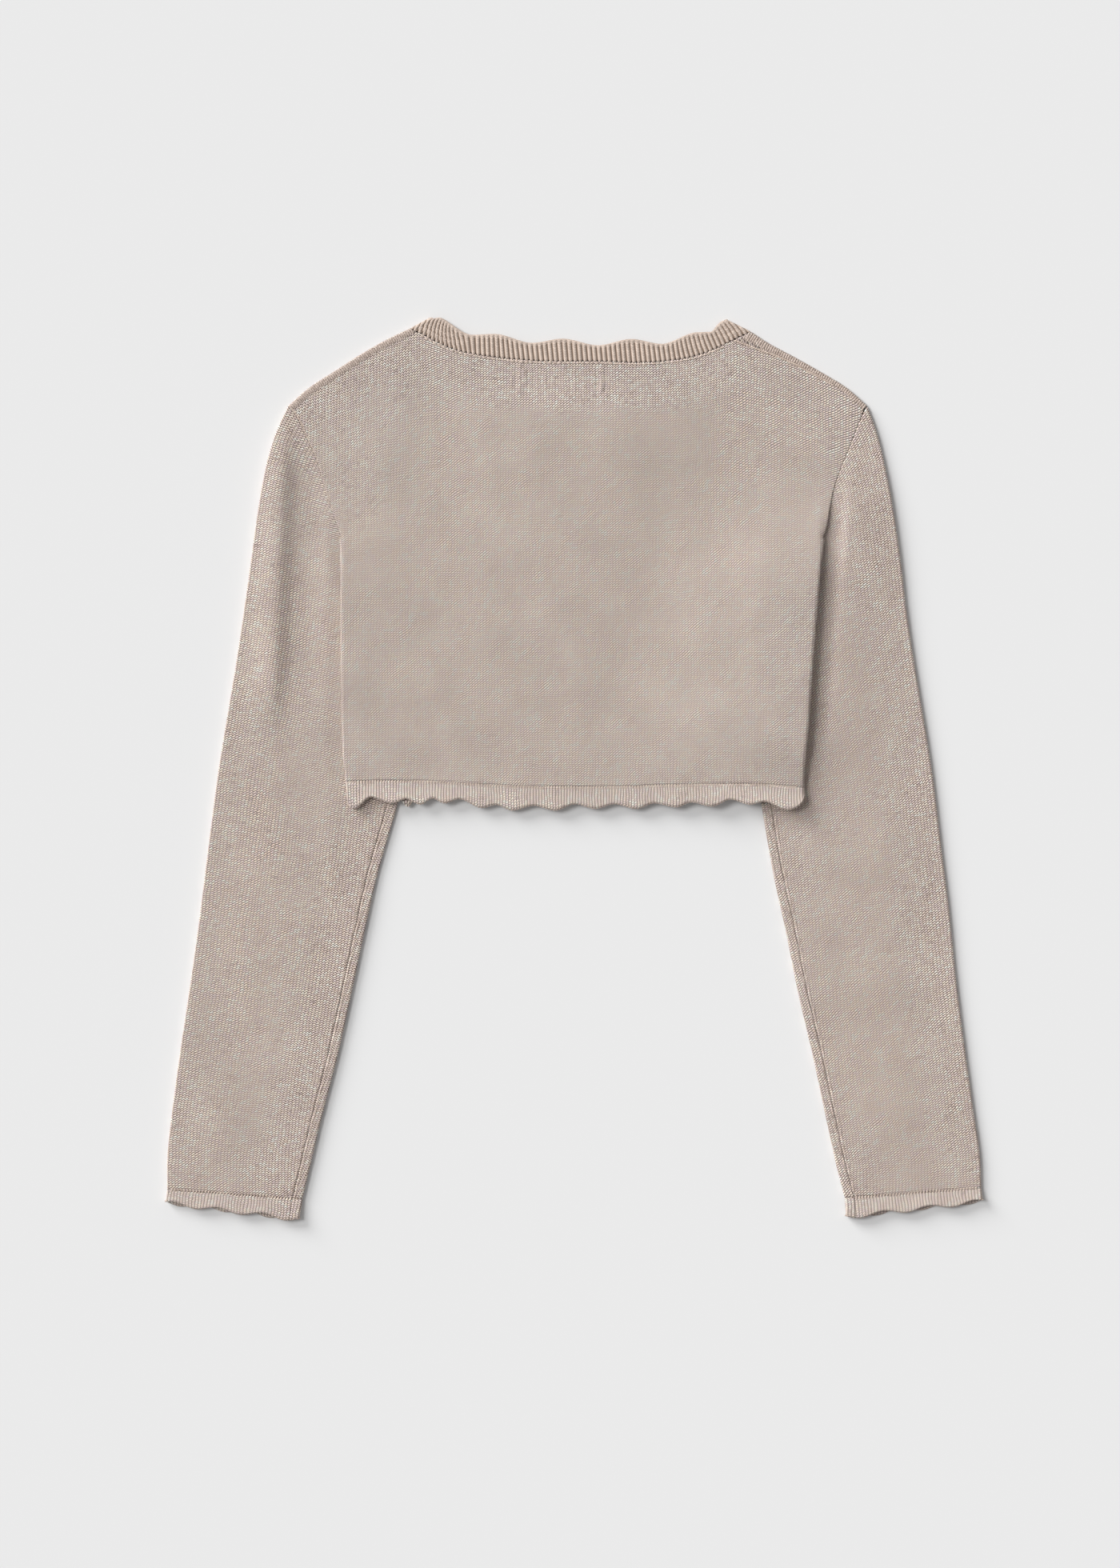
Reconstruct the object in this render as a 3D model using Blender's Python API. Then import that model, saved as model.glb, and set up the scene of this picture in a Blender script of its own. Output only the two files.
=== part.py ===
"""A cropped long-sleeved cardigan in fine jersey, lying flat with its back up.

All sizes are millimetres and become metres when a mesh is made.  X runs across the shoulders,
Y from the cuffs up to the neck, and Z up from the surface that the garment lies on.  The back
lies on the fronts, and the sleeves lie under the sides of the body.
"""

import math

import bmesh
import bpy
import numpy as np


def table(columns, *rows):
    """A short table of sizes, kept as one array for each named column."""
    return dict(zip(columns.split(), np.array(rows, dtype=float).T))


METRE = 0.001
WALL = 1.2
SEAM = 0.3
OUTWARD = {"left": -1.0, "right": 1.0}

# ---- The flat shape of the garment ----

# The fold from the shoulder tip up to the neck seam, then on to the tip of the neckband.
SHOULDER_FOLD = {
    "left": table(
        "x y",
        (-178.8, 227.0),
        (-166.3, 238.0),
        (-150.3, 248.5),
        (-134.3, 258.8),
        (-118.3, 268.0),
        (-101.8, 276.0),
        (-88.8, 283.0),
    ),
    "right": table(
        "x y",
        (183.3, 227.3),
        (169.8, 239.0),
        (153.8, 248.7),
        (137.8, 257.7),
        (121.8, 266.3),
        (109.8, 274.0),
        (94.8, 281.5),
    ),
}
NECK_SEAM_AT = {"left": -101.8, "right": 109.8}
FOLD_RADIUS = 1.7
SHOULDER_TOP = 2 * FOLD_RADIUS

# How far the front rolls over each shoulder, from the tip to the neck.
SHOULDER_ROLL = table(
    "left right",
    (3.5, 2.6),
    (3.5, 2.6),
    (3.5, 2.6),
    (3.5, 2.7),
    (3.5, 2.9),
    (3.5, 3.2),
    (3.5, 4.0),
    (3.5, 6.0),
)
SHOULDER_NECK_CORNER = {"left": (-98.6, 273.2), "right": (100.9, 268.6)}

# The armhole seams, from the shoulder tip to the underarm point hidden beneath the body.
ARMHOLE = {
    "left": table(
        "x y",
        (-178.8, 226.8),
        (-173.3, 220.5),
        (-165.8, 204.5),
        (-160.8, 193.5),
        (-157.5, 182.0),
        (-153.6, 168.0),
        (-148.8, 155.0),
        (-145.0, 144.5),
        (-140.0, 134.0),
        (-132.8, 122.5),
    ),
    "right": table(
        "x y",
        (183.3, 226.8),
        (180.0, 220.0),
        (177.3, 213.5),
        (172.3, 200.5),
        (166.8, 187.0),
        (161.8, 173.5),
        (158.8, 161.0),
        (155.2, 147.5),
        (150.3, 134.5),
        (144.2, 122.5),
    ),
}
ARMHOLE_STEPS = 9
ARMHOLE_HIDDEN_STEPS = 2

# The folded side edges of the body, down to the corners of the hem.
SIDE = {
    "left": table(
        "x y",
        (-146.3, 146.5),
        (-145.8, 125.0),
        (-145.8, 80.0),
        (-145.3, 30.5),
        (-144.3, 7.5),
        (-142.8, -7.5),
        (-141.8, -16.0),
    ),
    "right": table(
        "x y",
        (155.3, 146.5),
        (152.8, 120.0),
        (151.3, 98.5),
        (149.3, 75.5),
        (146.3, 30.5),
        (143.9, -2.0),
        (143.8, -15.0),
    ),
}

# The seam of the hem band across the back, and its extremes: a valley, then the next tip.
HEM_SEAM = table(
    "x y",
    (-141.8, -8.5),
    (-112.8, -7.5),
    (-89.8, -8.0),
    (-55.3, -10.0),
    (-21.3, -11.5),
    (20.3, -11.5),
    (71.8, -10.0),
    (117.3, -9.5),
    (143.8, -12.0),
)
HEM_SCALLOPS = table(
    "valley_x valley_y tip_x tip_y lift",
    (-141.8, -16.0, -137.6, -24.8, 0.6),
    (-126.8, -17.2, -113.8, -21.0, 1.6),
    (-104.5, -18.3, -95.8, -21.8, 1.2),
    (-88.5, -17.9, -80.8, -21.0, 0.8),
    (-71.8, -18.3, -57.3, -23.9, 0.4),
    (-48.8, -22.0, -38.3, -25.5, 0.2),
    (-25.3, -22.5, -11.8, -25.5, 0.2),
    (0.7, -21.5, 13.3, -24.5, 0.2),
    (25.3, -21.5, 38.8, -24.5, 0.2),
    (50.3, -21.0, 63.8, -23.5, 0.2),
    (73.3, -20.5, 86.3, -23.0, 0.4),
    (97.8, -18.6, 109.8, -21.8, 0.8),
    (118.3, -20.0, 133.8, -25.0, 1.8),
)
HEM_END = {"valley_x": 143.8, "valley_y": -15.0}

# The front hem lies under the back hem, and one tip hangs out near the left sleeve.
FRONT_HEM_SCALLOPS = {
    "left": table(
        "x y",
        (-141.8, -14.5),
        (-126.0, -16.0),
        (-117.0, -19.0),
        (-110.5, -17.2),
        (-104.0, -23.5),
        (-97.5, -17.5),
        (-92.0, -19.0),
        (-80.0, -16.5),
        (-68.0, -19.0),
        (-56.0, -17.0),
        (-43.5, -20.0),
        (-31.0, -17.5),
        (-19.0, -20.0),
        (-9.3, -18.5),
    ),
    "right": table(
        "x y",
        (143.8, -14.5),
        (132.0, -16.0),
        (122.0, -18.0),
        (110.0, -16.0),
        (98.0, -17.5),
        (86.0, -16.0),
        (74.0, -19.0),
        (62.0, -17.0),
        (50.0, -19.5),
        (37.5, -17.5),
        (25.0, -20.0),
        (13.3, -18.5),
    ),
}

# The neck seam across the back, and the scalloped free edge of the neckband above it.
NECK_SEAM = table(
    "x y",
    (-95.3, 272.2),
    (-83.5, 265.8),
    (-71.9, 261.4),
    (-56.0, 258.4),
    (-38.0, 256.2),
    (-16.0, 255.0),
    (14.0, 255.0),
    (43.0, 254.2),
    (65.0, 256.0),
    (80.0, 259.5),
    (93.3, 265.0),
)
NECK_SEAM_RIGHT_CORNER = (101.8, 269.5)
NECK_EDGE = table(
    "x y",
    (-88.8, 283.0),
    (-63.8, 271.1),
    (-50.3, 271.7),
    (-26.3, 266.1),
    (-7.3, 268.7),
    (15.2, 264.6),
    (36.2, 268.5),
    (55.2, 265.5),
    (78.0, 272.7),
    (86.0, 273.0),
    (94.8, 281.5),
)

# The front neckline, from the fold at the shoulder down to the front band.
FRONT_NECK = {
    "left": table(
        "seam_x seam_y edge_x edge_y",
        (-99.6, 262.0, -86.6, 268.0),
        (-94.6, 246.5, -82.0, 254.0),
        (-86.2, 232.0, -74.4, 241.0),
        (-74.4, 219.0, -64.0, 228.6),
        (-59.6, 208.4, -51.2, 219.0),
        (-42.4, 200.4, -36.8, 212.4),
        (-25.4, 195.6, -22.6, 208.4),
        (-9.3, 193.6, -9.3, 206.8),
    ),
    "right": table(
        "seam_x seam_y edge_x edge_y",
        (107.4, 260.5, 92.6, 266.0),
        (102.0, 245.5, 88.2, 252.6),
        (93.6, 231.4, 80.8, 240.2),
        (81.6, 218.6, 70.2, 228.2),
        (66.4, 208.2, 57.0, 218.8),
        (48.8, 200.4, 42.4, 212.4),
        (31.2, 195.6, 27.8, 208.4),
        (13.3, 193.6, 13.3, 206.8),
    ),
}
FRONT_NECK_SCALLOP = {"pitch": 42.0, "depth": 2.4}

RIBS = {"count": 71, "height": 0.4}

# The overlapping front bands and the buttons that hold them.
PLACKET_X = 2.0
PLACKET_HALF = 11.0
PLACKET_TOP = 206.8
PLACKET_FOOT = -18.5
BUTTON = {"across": 11.0, "thick": 1.6, "bevel": 0.8, "dish": 0.4, "sides": 20}
BUTTON_Y = {"first": 197.0, "last": -9.0, "count": 5}
BAND_LIFT = {"right": BUTTON["thick"] + SEAM, "left": BUTTON["thick"] + WALL + 2 * SEAM}

# ---- The sleeves ----

# One row for each section: where it meets the outer and inner folds, and how far its line
# still bows like the armhole.
SLEEVE = {
    "left": table(
        "outer_x outer_y inner_x inner_y bow",
        (-178.8, 226.8, -132.8, 122.5, 1.00),
        (-186.3, 210.5, -126.0, 109.0, 0.85),
        (-192.3, 190.5, -119.0, 94.0, 0.70),
        (-197.2, 164.5, -112.0, 76.0, 0.50),
        (-202.0, 130.5, -106.5, 54.0, 0.35),
        (-206.8, 96.5, -104.0, 32.0, 0.20),
        (-212.3, 60.5, -104.5, 8.0, 0.10),
        (-221.9, 2.5, -109.8, -20.0, 0.00),
        (-228.8, -49.5, -122.5, -64.5, 0.00),
        (-233.8, -89.5, -130.9, -101.5, 0.00),
        (-239.3, -129.5, -139.2, -140.5, 0.00),
        (-245.3, -169.5, -147.8, -179.5, 0.00),
        (-250.8, -209.5, -157.6, -217.5, 0.00),
        (-254.2, -240.0, -164.6, -247.0, 0.00),
        (-254.5, -263.0, -169.8, -269.0, 0.00),
    ),
    "right": table(
        "outer_x outer_y inner_x inner_y bow",
        (183.3, 226.8, 144.2, 122.5, 1.00),
        (189.3, 210.5, 137.8, 109.0, 0.85),
        (194.3, 190.5, 130.0, 93.0, 0.70),
        (199.3, 164.5, 121.0, 75.0, 0.50),
        (204.3, 130.5, 114.3, 54.0, 0.35),
        (208.3, 96.5, 112.0, 32.0, 0.20),
        (213.8, 60.5, 113.0, 8.0, 0.10),
        (223.4, 2.5, 116.9, -20.0, 0.00),
        (229.8, -49.5, 124.4, -64.5, 0.00),
        (234.8, -89.5, 132.4, -101.5, 0.00),
        (238.8, -129.5, 140.2, -140.5, 0.00),
        (243.8, -169.5, 149.3, -179.5, 0.00),
        (249.3, -209.5, 157.4, -217.5, 0.00),
        (253.7, -240.0, 163.8, -247.0, 0.00),
        (254.8, -262.0, 169.3, -268.3, 0.00),
    ),
}
CUFF_END = {
    "left": {"outer": (-255.4, -271.0), "inner": (-171.6, -281.6)},
    "right": {"outer": (255.6, -270.0), "inner": (170.0, -280.0)},
}
CUFF_SCALLOPS = {"count": 6, "first_tip": 0.225, "depth": 2.2, "opens": 1.3}

SLEEVE_PRESSED = 2 * WALL + 0.4
SLEEVE_LOFT = SHOULDER_TOP - SLEEVE_PRESSED
SLEEVE_FOLDS = {
    "left": table(
        "x1 y1 x2 y2 width height",
        (-185.5, 190.0, -203.0, 40.0, 8.0, 2.0),
        (-168.5, 200.0, -176.0, 35.0, 7.0, -0.5),
        (-190.0, -60.0, -206.0, -150.0, 16.0, 0.5),
    ),
    "right": table(
        "x1 y1 x2 y2 width height",
        (189.0, 190.0, 200.0, 70.0, 8.0, 1.3),
        (174.0, 195.0, 180.0, 60.0, 8.0, -0.4),
        (186.0, -40.0, 206.0, -160.0, 16.0, 0.5),
    ),
}

# ---- How the layers lie on each other ----

FRONT_OVER_SLEEVE = SLEEVE_PRESSED + SEAM
SIDE_FOLD_RADIUS = {"left": 1.7, "right": 3.0}
SIDE_PUFF = {"left": 0.5, "right": 3.1}
SIDE_PUFF_REACH = 32.0
BACK_OVER_SLEEVE = FRONT_OVER_SLEEVE + 2 * SIDE_FOLD_RADIUS["left"] - SIDE_PUFF["left"] - SHOULDER_TOP
BACK_OVER_PLACKET = 2.8


def ease(value):
    """A soft step from 0 to 1."""
    value = np.clip(value, 0.0, 1.0)
    return value * value * (3.0 - 2.0 * value)


def line_x(rows, y):
    """Where a line that runs down the garment stands at height y."""
    return np.interp(y, rows["y"][::-1], rows["x"][::-1])


def smooth_line(rows, fractions):
    """Points at fractions of the length of a smooth line through a table's x and y."""
    knots = np.column_stack([rows["x"], rows["y"]])
    ends = np.vstack([2 * knots[0] - knots[1], knots, 2 * knots[-1] - knots[-2]])
    steps = np.linspace(0, len(knots) - 1, 24 * (len(knots) - 1) + 1)
    index = np.minimum(steps.astype(int), len(knots) - 2)
    t = (steps - index)[:, None]
    a, b, c, d = (ends[index + k] for k in range(4))
    bend = (2 * a - 5 * b + 4 * c - d) * t**2 + (3 * b - a - 3 * c + d) * t**3
    line = 0.5 * (2 * b + (c - a) * t + bend)
    return straight_line(line, fractions)


def straight_line(points, fractions):
    """Points at fractions of the length of a line of straight pieces."""
    points = np.asarray(points, dtype=float)
    lengths = np.concatenate([[0.0], np.cumsum(np.linalg.norm(np.diff(points, axis=0), axis=1))])
    wanted = np.asarray(fractions, dtype=float) * lengths[-1]
    return np.column_stack([np.interp(wanted, lengths, points[:, k]) for k in range(2)])


def beside(line, distance):
    """The same line moved in plan, to the left of its run when the distance is positive."""
    ahead = np.gradient(line, axis=0)
    ahead /= np.linalg.norm(ahead, axis=1)[:, None]
    return line + distance * np.column_stack([-ahead[:, 1], ahead[:, 0]])


def wave_y(x, xs, ys):
    """The height of an edge that swings softly between extremes."""
    order = np.argsort(xs)
    xs, ys = np.asarray(xs)[order], np.asarray(ys)[order]
    left = np.clip(np.searchsorted(xs, x, side="right") - 1, 0, len(xs) - 2)
    part = (x - xs[left]) / (xs[left + 1] - xs[left])
    return ys[left] + (ys[left + 1] - ys[left]) * ease(part)


def armhole_seam(side):
    """The corners of an armhole seam, from the shoulder tip down, that all its pieces share."""
    return smooth_line(ARMHOLE[side], np.linspace(0.0, 1.0, ARMHOLE_STEPS + 1))


def fold_line(side, fractions):
    """Points on a shoulder fold between the tip and the neck seam, with their inward directions."""
    dense = smooth_line(SHOULDER_FOLD[side], np.linspace(0.0, 1.0, 601))
    ahead = np.gradient(dense, axis=0)
    ahead /= np.linalg.norm(ahead, axis=1)[:, None]
    inward = OUTWARD[side] * np.column_stack([-ahead[:, 1], ahead[:, 0]])
    neck = int(np.argmin(np.abs(dense[:, 0] - NECK_SEAM_AT[side])))
    steps = np.asarray(fractions) * neck
    points = np.column_stack([np.interp(steps, np.arange(601), dense[:, k]) for k in range(2)])
    return points, np.column_stack([np.interp(steps, np.arange(601), inward[:, k]) for k in range(2)])


def shoulder_seam(side):
    """The seam of a shoulder, a little way in from its fold on the back."""
    points, inward = fold_line(side, np.linspace(0.0, 1.0, 9)[:-1])
    points[0] += (points[1] - points[0]) * 0.4 / np.linalg.norm(points[1] - points[0])
    line = points + inward * SHOULDER_ROLL[side][:, None]
    return np.vstack([line, SHOULDER_NECK_CORNER[side]])


# ---- The heights of the layers ----


def over_sleeve(side, x, y, level, reach, full_y, start_y):
    """How much a layer rides on the sleeve: 1 above it and for a level stretch beyond its inner
    fold, falling to 0 over the reach, and none at the shoulder."""
    inner = {"x": SLEEVE[side]["inner_x"], "y": SLEEVE[side]["inner_y"]}
    beyond = OUTWARD[side] * (line_x(inner, y) - x)
    along = 1.0 - ease((y - full_y) / (start_y - full_y))
    return along * (1.0 - ease((beyond - level) / reach))


def over_placket(x, flat, reach):
    """How much a layer is raised by the front bands."""
    return 1.0 - ease((np.abs(x - PLACKET_X) - flat) / reach)


def front_floor(side, x, y):
    """The height of the front's outer side, which faces the floor."""
    ride = FRONT_OVER_SLEEVE * over_sleeve(side, x, y, 15.0, 16.0, 123.0, 150.0)
    return ride + BAND_LIFT[side] * over_placket(x, 13.0, 14.0)


def back_top(x, y):
    """The height of the back's outer side."""
    below_neck = 1.0 - ease((y - 212.0) / 38.0)
    height = SHOULDER_TOP + BACK_OVER_PLACKET * over_placket(x, 14.0, 50.0) * below_neck
    for side in OUTWARD:
        inward = OUTWARD[side] * (line_x(SIDE[side], y) - x)
        puff = SIDE_PUFF[side] * (1.0 - ease(inward / SIDE_PUFF_REACH)) * (1.0 - ease((y - 118.0) / 54.0))
        height = height + BACK_OVER_SLEEVE * over_sleeve(side, x, y, 12.0, 50.0, 118.0, 172.0) + puff
    return height


def sleeve_top(side, x, y):
    """The height of a sleeve's upper layer, pressed down where the body lies on it."""
    outside = OUTWARD[side] * (x - line_x(SIDE[side], y))
    pressed = 1.0 - ease(outside / 12.0)
    pressed = pressed * (1.0 - ease((y - 150.0) / 22.0)) * (1.0 - ease((-60.0 - y) / 30.0))
    folds = 0.0
    for x1, y1, x2, y2, width, height in zip(*SLEEVE_FOLDS[side].values()):
        run = np.array([x2 - x1, y2 - y1])
        length = np.linalg.norm(run)
        along = ((x - x1) * run[0] + (y - y1) * run[1]) / length**2
        across = ((x - x1) * run[1] - (y - y1) * run[0]) / length
        ends = ease(along / 0.25) * ease((1.0 - along) / 0.25)
        folds = folds + height * ends * np.exp(-((across / width) ** 2))
    return SLEEVE_PRESSED + (1.0 - pressed) * (SLEEVE_LOFT + folds)


def side_curl(y):
    """How far a side edge of the back turns down: not at the armhole, and fully below it."""
    return np.maximum(1.0 - ease((y - 118.0) / 32.0), 0.02)


def rolled(level, radius, curl, depth, outer_up):
    """A side edge as it turns towards the other panel: steps in from the edge, and heights.

    The first step is the edge itself and the last is where the cloth lies level."""
    full = math.pi / 2 - math.asin(0.5 * SEAM / radius)
    angle = curl * full
    bend = radius / curl
    turn = angle * np.array([1.0, 0.5, 0.0])
    steps = bend * math.sin(angle) - (bend - depth) * np.sin(turn)
    drop = bend - (bend - depth) * np.cos(turn)
    return steps, level - drop if outer_up else level + drop


# ---- Solids ----


def linear(hex_colour):
    """A colour written as sRGB hex, turned linear."""
    channels = [int(hex_colour[start : start + 2], 16) / 255.0 for start in (0, 2, 4)]
    curved = [c / 12.92 if c <= 0.04045 else ((c + 0.055) / 1.055) ** 2.4 for c in channels]
    return (*curved, 1.0)


def solid(name, points, faces, colour, roughness):
    """One named piece with its own material."""
    mesh = bpy.data.meshes.new(name)
    mesh.from_pydata([tuple(METRE * value for value in point) for point in points], [], faces)
    shaping = bmesh.new()
    shaping.from_mesh(mesh)
    bmesh.ops.recalc_face_normals(shaping, faces=shaping.faces)
    for face in shaping.faces:
        face.smooth = True
    shaping.to_mesh(mesh)
    shaping.free()
    material = bpy.data.materials.new(name)
    material.use_nodes = True
    shader = material.node_tree.nodes["Principled BSDF"]
    shader.inputs["Base Color"].default_value = linear(colour)
    shader.inputs["Roughness"].default_value = roughness
    mesh.materials.append(material)
    bpy.context.scene.collection.objects.link(bpy.data.objects.new(name, mesh))


def cloth(name, outer, inner, colour, closed=False):
    """A cloth wall between two skins of matching rows, joined round their rims."""
    rows, columns = outer.shape[:2]
    spans = columns if closed else columns - 1

    def at(skin, row, column):
        return (skin * rows + row) * columns + column % columns

    faces = []
    for row in range(rows - 1):
        for column in range(spans):
            corners = [(row, column), (row, column + 1), (row + 1, column + 1), (row + 1, column)]
            faces.append([at(0, *corner) for corner in corners])
            faces.append([at(1, *corner) for corner in reversed(corners)])
    for row in (0, rows - 1):
        for column in range(spans):
            rim = [(0, row, column), (1, row, column), (1, row, column + 1), (0, row, column + 1)]
            faces.append([at(*corner) for corner in rim])
    if not closed:
        for column in (0, columns - 1):
            for row in range(rows - 1):
                rim = [(0, row, column), (1, row, column), (1, row + 1, column), (0, row + 1, column)]
                faces.append([at(*corner) for corner in rim])
    solid(name, np.concatenate([outer.reshape(-1, 3), inner.reshape(-1, 3)]), faces, colour, 0.9)


def skins(shape):
    """The outer and inner skins of a piece whose points depend on their depth in the cloth."""
    return shape(0.0), shape(WALL)


# ---- The back ----

SHOULDER_STEPS = 8
SIDE_ROWS = 8
ARMHOLE_ROWS = ARMHOLE_STEPS - ARMHOLE_HIDDEN_STEPS


def back_edge(side):
    """The plan of one side of the back, from the hem up its fold and its armhole."""
    hem_y = np.interp(SIDE[side]["x"][-1], HEM_SEAM["x"], HEM_SEAM["y"]) + SEAM
    armhole = beside(armhole_seam(side), -OUTWARD[side] * SEAM)[ARMHOLE_ROWS:0:-1]
    side_y = np.linspace(hem_y, armhole[0, 1], SIDE_ROWS + 1)[:-1]
    points = [(line_x(SIDE[side], y), y) for y in side_y]
    return np.vstack([points, armhole, back_shoulder(side)[:1]])


def back_shoulder(side):
    """The back's own edge along a shoulder seam, from the tip to the neck."""
    return beside(shoulder_seam(side), OUTWARD[side] * SEAM)


def back_neck():
    """The back's own edge along the neck seam, between its two corners."""
    seam = np.column_stack([NECK_SEAM["x"], NECK_SEAM["y"]])
    return beside(seam, -SEAM)


def back_skin(depth):
    left, right = back_edge("left"), back_edge("right")
    top_line = np.vstack([back_shoulder("left"), back_neck(), back_shoulder("right")[::-1]])
    share = (top_line[:, 0] - top_line[0, 0]) / (top_line[-1, 0] - top_line[0, 0])
    rise = top_line[:, 1] - (top_line[0, 1] + share * (top_line[-1, 1] - top_line[0, 1]))
    rows = []
    for row, (start, end) in enumerate(zip(left, right)):
        upper = ease((row - SIDE_ROWS + 2.0) / (ARMHOLE_ROWS + 2.0))
        lower = max(0.0, 1.0 - row / 3.0)
        x = start[0] + share * (end[0] - start[0])
        level_y = start[1] + share * (end[1] - start[1])
        hem_x = HEM_SEAM["x"][0] + share * (HEM_SEAM["x"][-1] - HEM_SEAM["x"][0])
        hem_rise = np.interp(hem_x, HEM_SEAM["x"], HEM_SEAM["y"])
        hem_rise -= HEM_SEAM["y"][0] + share * (HEM_SEAM["y"][-1] - HEM_SEAM["y"][0])
        y = level_y + upper * rise + lower * hem_rise
        middle = np.column_stack([x, y, back_top(x, y) - depth])[1:-1]
        ends = {}
        for side, tip, towards in (("left", start, middle[0]), ("right", end, middle[-1])):
            ahead = (towards[:2] - tip) / np.linalg.norm(towards[:2] - tip)
            level = float(back_top(*tip))
            steps, heights = rolled(level, SIDE_FOLD_RADIUS[side], float(side_curl(tip[1])), depth, True)
            ends[side] = [(*(tip + ahead * step), height) for step, height in zip(steps, heights)]
        rows.append(ends["left"] + [tuple(point) for point in middle] + ends["right"][::-1])
    return np.array(rows)


# ---- The fronts ----

FRONT_SIDE_ROWS = 7
FRONT_ROWS = FRONT_SIDE_ROWS + ARMHOLE_STEPS
FRONT_TOP_SIDE_Y = 104.0
FOLD_TURNS = np.radians([-90.0, -45.0, 0.0, 45.0, 90.0])


def front_edges(side):
    """The plan of a front from the hem up: its side and armhole, then its band and neckline."""
    hem_side = np.interp(SIDE[side]["x"][-1], HEM_SEAM["x"], HEM_SEAM["y"]) + SEAM
    side_y = np.linspace(hem_side, FRONT_TOP_SIDE_Y, FRONT_SIDE_ROWS)
    outer = [(line_x(SIDE[side], y), y) for y in side_y]
    armhole = beside(armhole_seam(side), -OUTWARD[side] * SEAM)
    outer += [tuple(point) for point in armhole[:0:-1]]
    rows = FRONT_NECK[side]
    neck = np.column_stack([rows["seam_x"], rows["seam_y"]])[::-1]
    hem_centre = np.interp(neck[0, 0], HEM_SEAM["x"], HEM_SEAM["y"]) + SEAM
    centre_y = np.linspace(hem_centre, neck[0, 1] - SEAM, FRONT_ROWS - len(neck) + 1)
    centre = [(neck[0, 0] + OUTWARD[side] * SEAM, y) for y in centre_y]
    centre += [tuple(point) for point in beside(neck, -OUTWARD[side] * SEAM)[1:]]
    return np.array(outer), np.array(centre)


def front_skin(side, depth):
    outer, centre = front_edges(side)
    share = np.linspace(0.0, 1.0, SHOULDER_STEPS + 1)
    hem_rise = np.interp(outer[0, 0] + share * (centre[0, 0] - outer[0, 0]), HEM_SEAM["x"], HEM_SEAM["y"])
    hem_rise -= hem_rise[0] + share * (hem_rise[-1] - hem_rise[0])
    rows = []
    for row, (start, end) in enumerate(zip(outer, centre)):
        line = start + share[:, None] * (end - start)
        line[:, 1] += max(0.0, 1.0 - row / 3.0) * hem_rise
        ahead = (line[1] - start) / np.linalg.norm(line[1] - start)
        curl = 1.0 if row < FRONT_SIDE_ROWS else 0.02
        level = float(front_floor(side, *start))
        steps, heights = rolled(level, SIDE_FOLD_RADIUS[side], curl, depth, False)
        floor = front_floor(side, line[:, 0], line[:, 1]) + depth
        edge = [(*(start + ahead * step), height) for step, height in zip(steps, heights)]
        rows.append(edge + [(*line[k], floor[k]) for k in range(1, SHOULDER_STEPS + 1)])
    near = np.array([0.0, 0.15, 0.35])
    fractions = np.concatenate([near / SHOULDER_STEPS, share[1:]])
    points, inward = fold_line(side, fractions)
    length = np.linalg.norm(points[-1] - points[0])
    away = (points[-1] - points[0]) / length
    points[0] += SEAM * away
    points[-1] -= SEAM * away
    for turn in FOLD_TURNS:
        steps = FOLD_RADIUS - (FOLD_RADIUS - depth) * math.cos(turn)
        height = FOLD_RADIUS + (FOLD_RADIUS - depth) * math.sin(turn)
        rows.append([(*(points[k] + steps * inward[k]), height) for k in range(len(points))])
    seam = shoulder_seam(side)
    strip = np.vstack([seam[0] + near[:, None] * (seam[1] - seam[0]), seam[1:]])
    rows.append([(*point, SHOULDER_TOP - depth) for point in strip])
    return np.array(rows)


# ---- The sleeves and cuffs ----

LOWER_PARTS = np.arange(ARMHOLE_STEPS + 1) / ARMHOLE_STEPS
UPPER_PARTS = np.sort(np.append(LOWER_PARTS, np.array([0.5, 1.5]) / ARMHOLE_STEPS))[::-1]
END_TURNS = np.radians([-45.0, 0.0, 45.0])


def tube_section(plan, height, depth):
    """One closed section of a flattened tube, from the outer fold along the floor and back on top."""
    start, end = plan(0.0), plan(1.0)
    length = np.linalg.norm(end - start)
    outer, inner = 0.5 * height(*plan(2.0 / length)), 0.5 * height(*plan(1.0 - 2.0 / length))
    loop = []
    for part in np.clip(LOWER_PARTS, outer / length, 1.0 - inner / length):
        loop.append((part, 2.0 - part, depth))
    for turn in END_TURNS:
        part = 1.0 - (inner - (inner - depth) * math.cos(turn)) / length
        loop.append((part, 1.0, inner + (inner - depth) * math.sin(turn)))
    for part in np.clip(UPPER_PARTS, outer / length, 1.0 - inner / length):
        loop.append((part, part, height(*plan(part)) - depth))
    for turn in -END_TURNS:
        part = (outer - (outer - depth) * math.cos(turn)) / length
        loop.append((part, 0.0, outer + (outer - depth) * math.sin(turn)))
    return loop


def sleeve_skin(side, depth):
    rows = SLEEVE[side]
    seam = armhole_seam(side)
    bulge = seam - (seam[0] + LOWER_PARTS[:, None] * (seam[-1] - seam[0]))
    sections = []
    for outer_x, outer_y, inner_x, inner_y, bow in zip(*rows.values()):

        def plan(part):
            bend = [np.interp(part, LOWER_PARTS, bulge[:, k]) for k in range(2)]
            x = outer_x + part * (inner_x - outer_x) + bow * bend[0]
            return np.array([x, outer_y + part * (inner_y - outer_y) + bow * bend[1]])

        loop = tube_section(plan, lambda x, y: float(sleeve_top(side, x, y)), depth)
        sections.append([(*plan(part), height) for part, place, height in loop])
    return np.array(sections)


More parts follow.
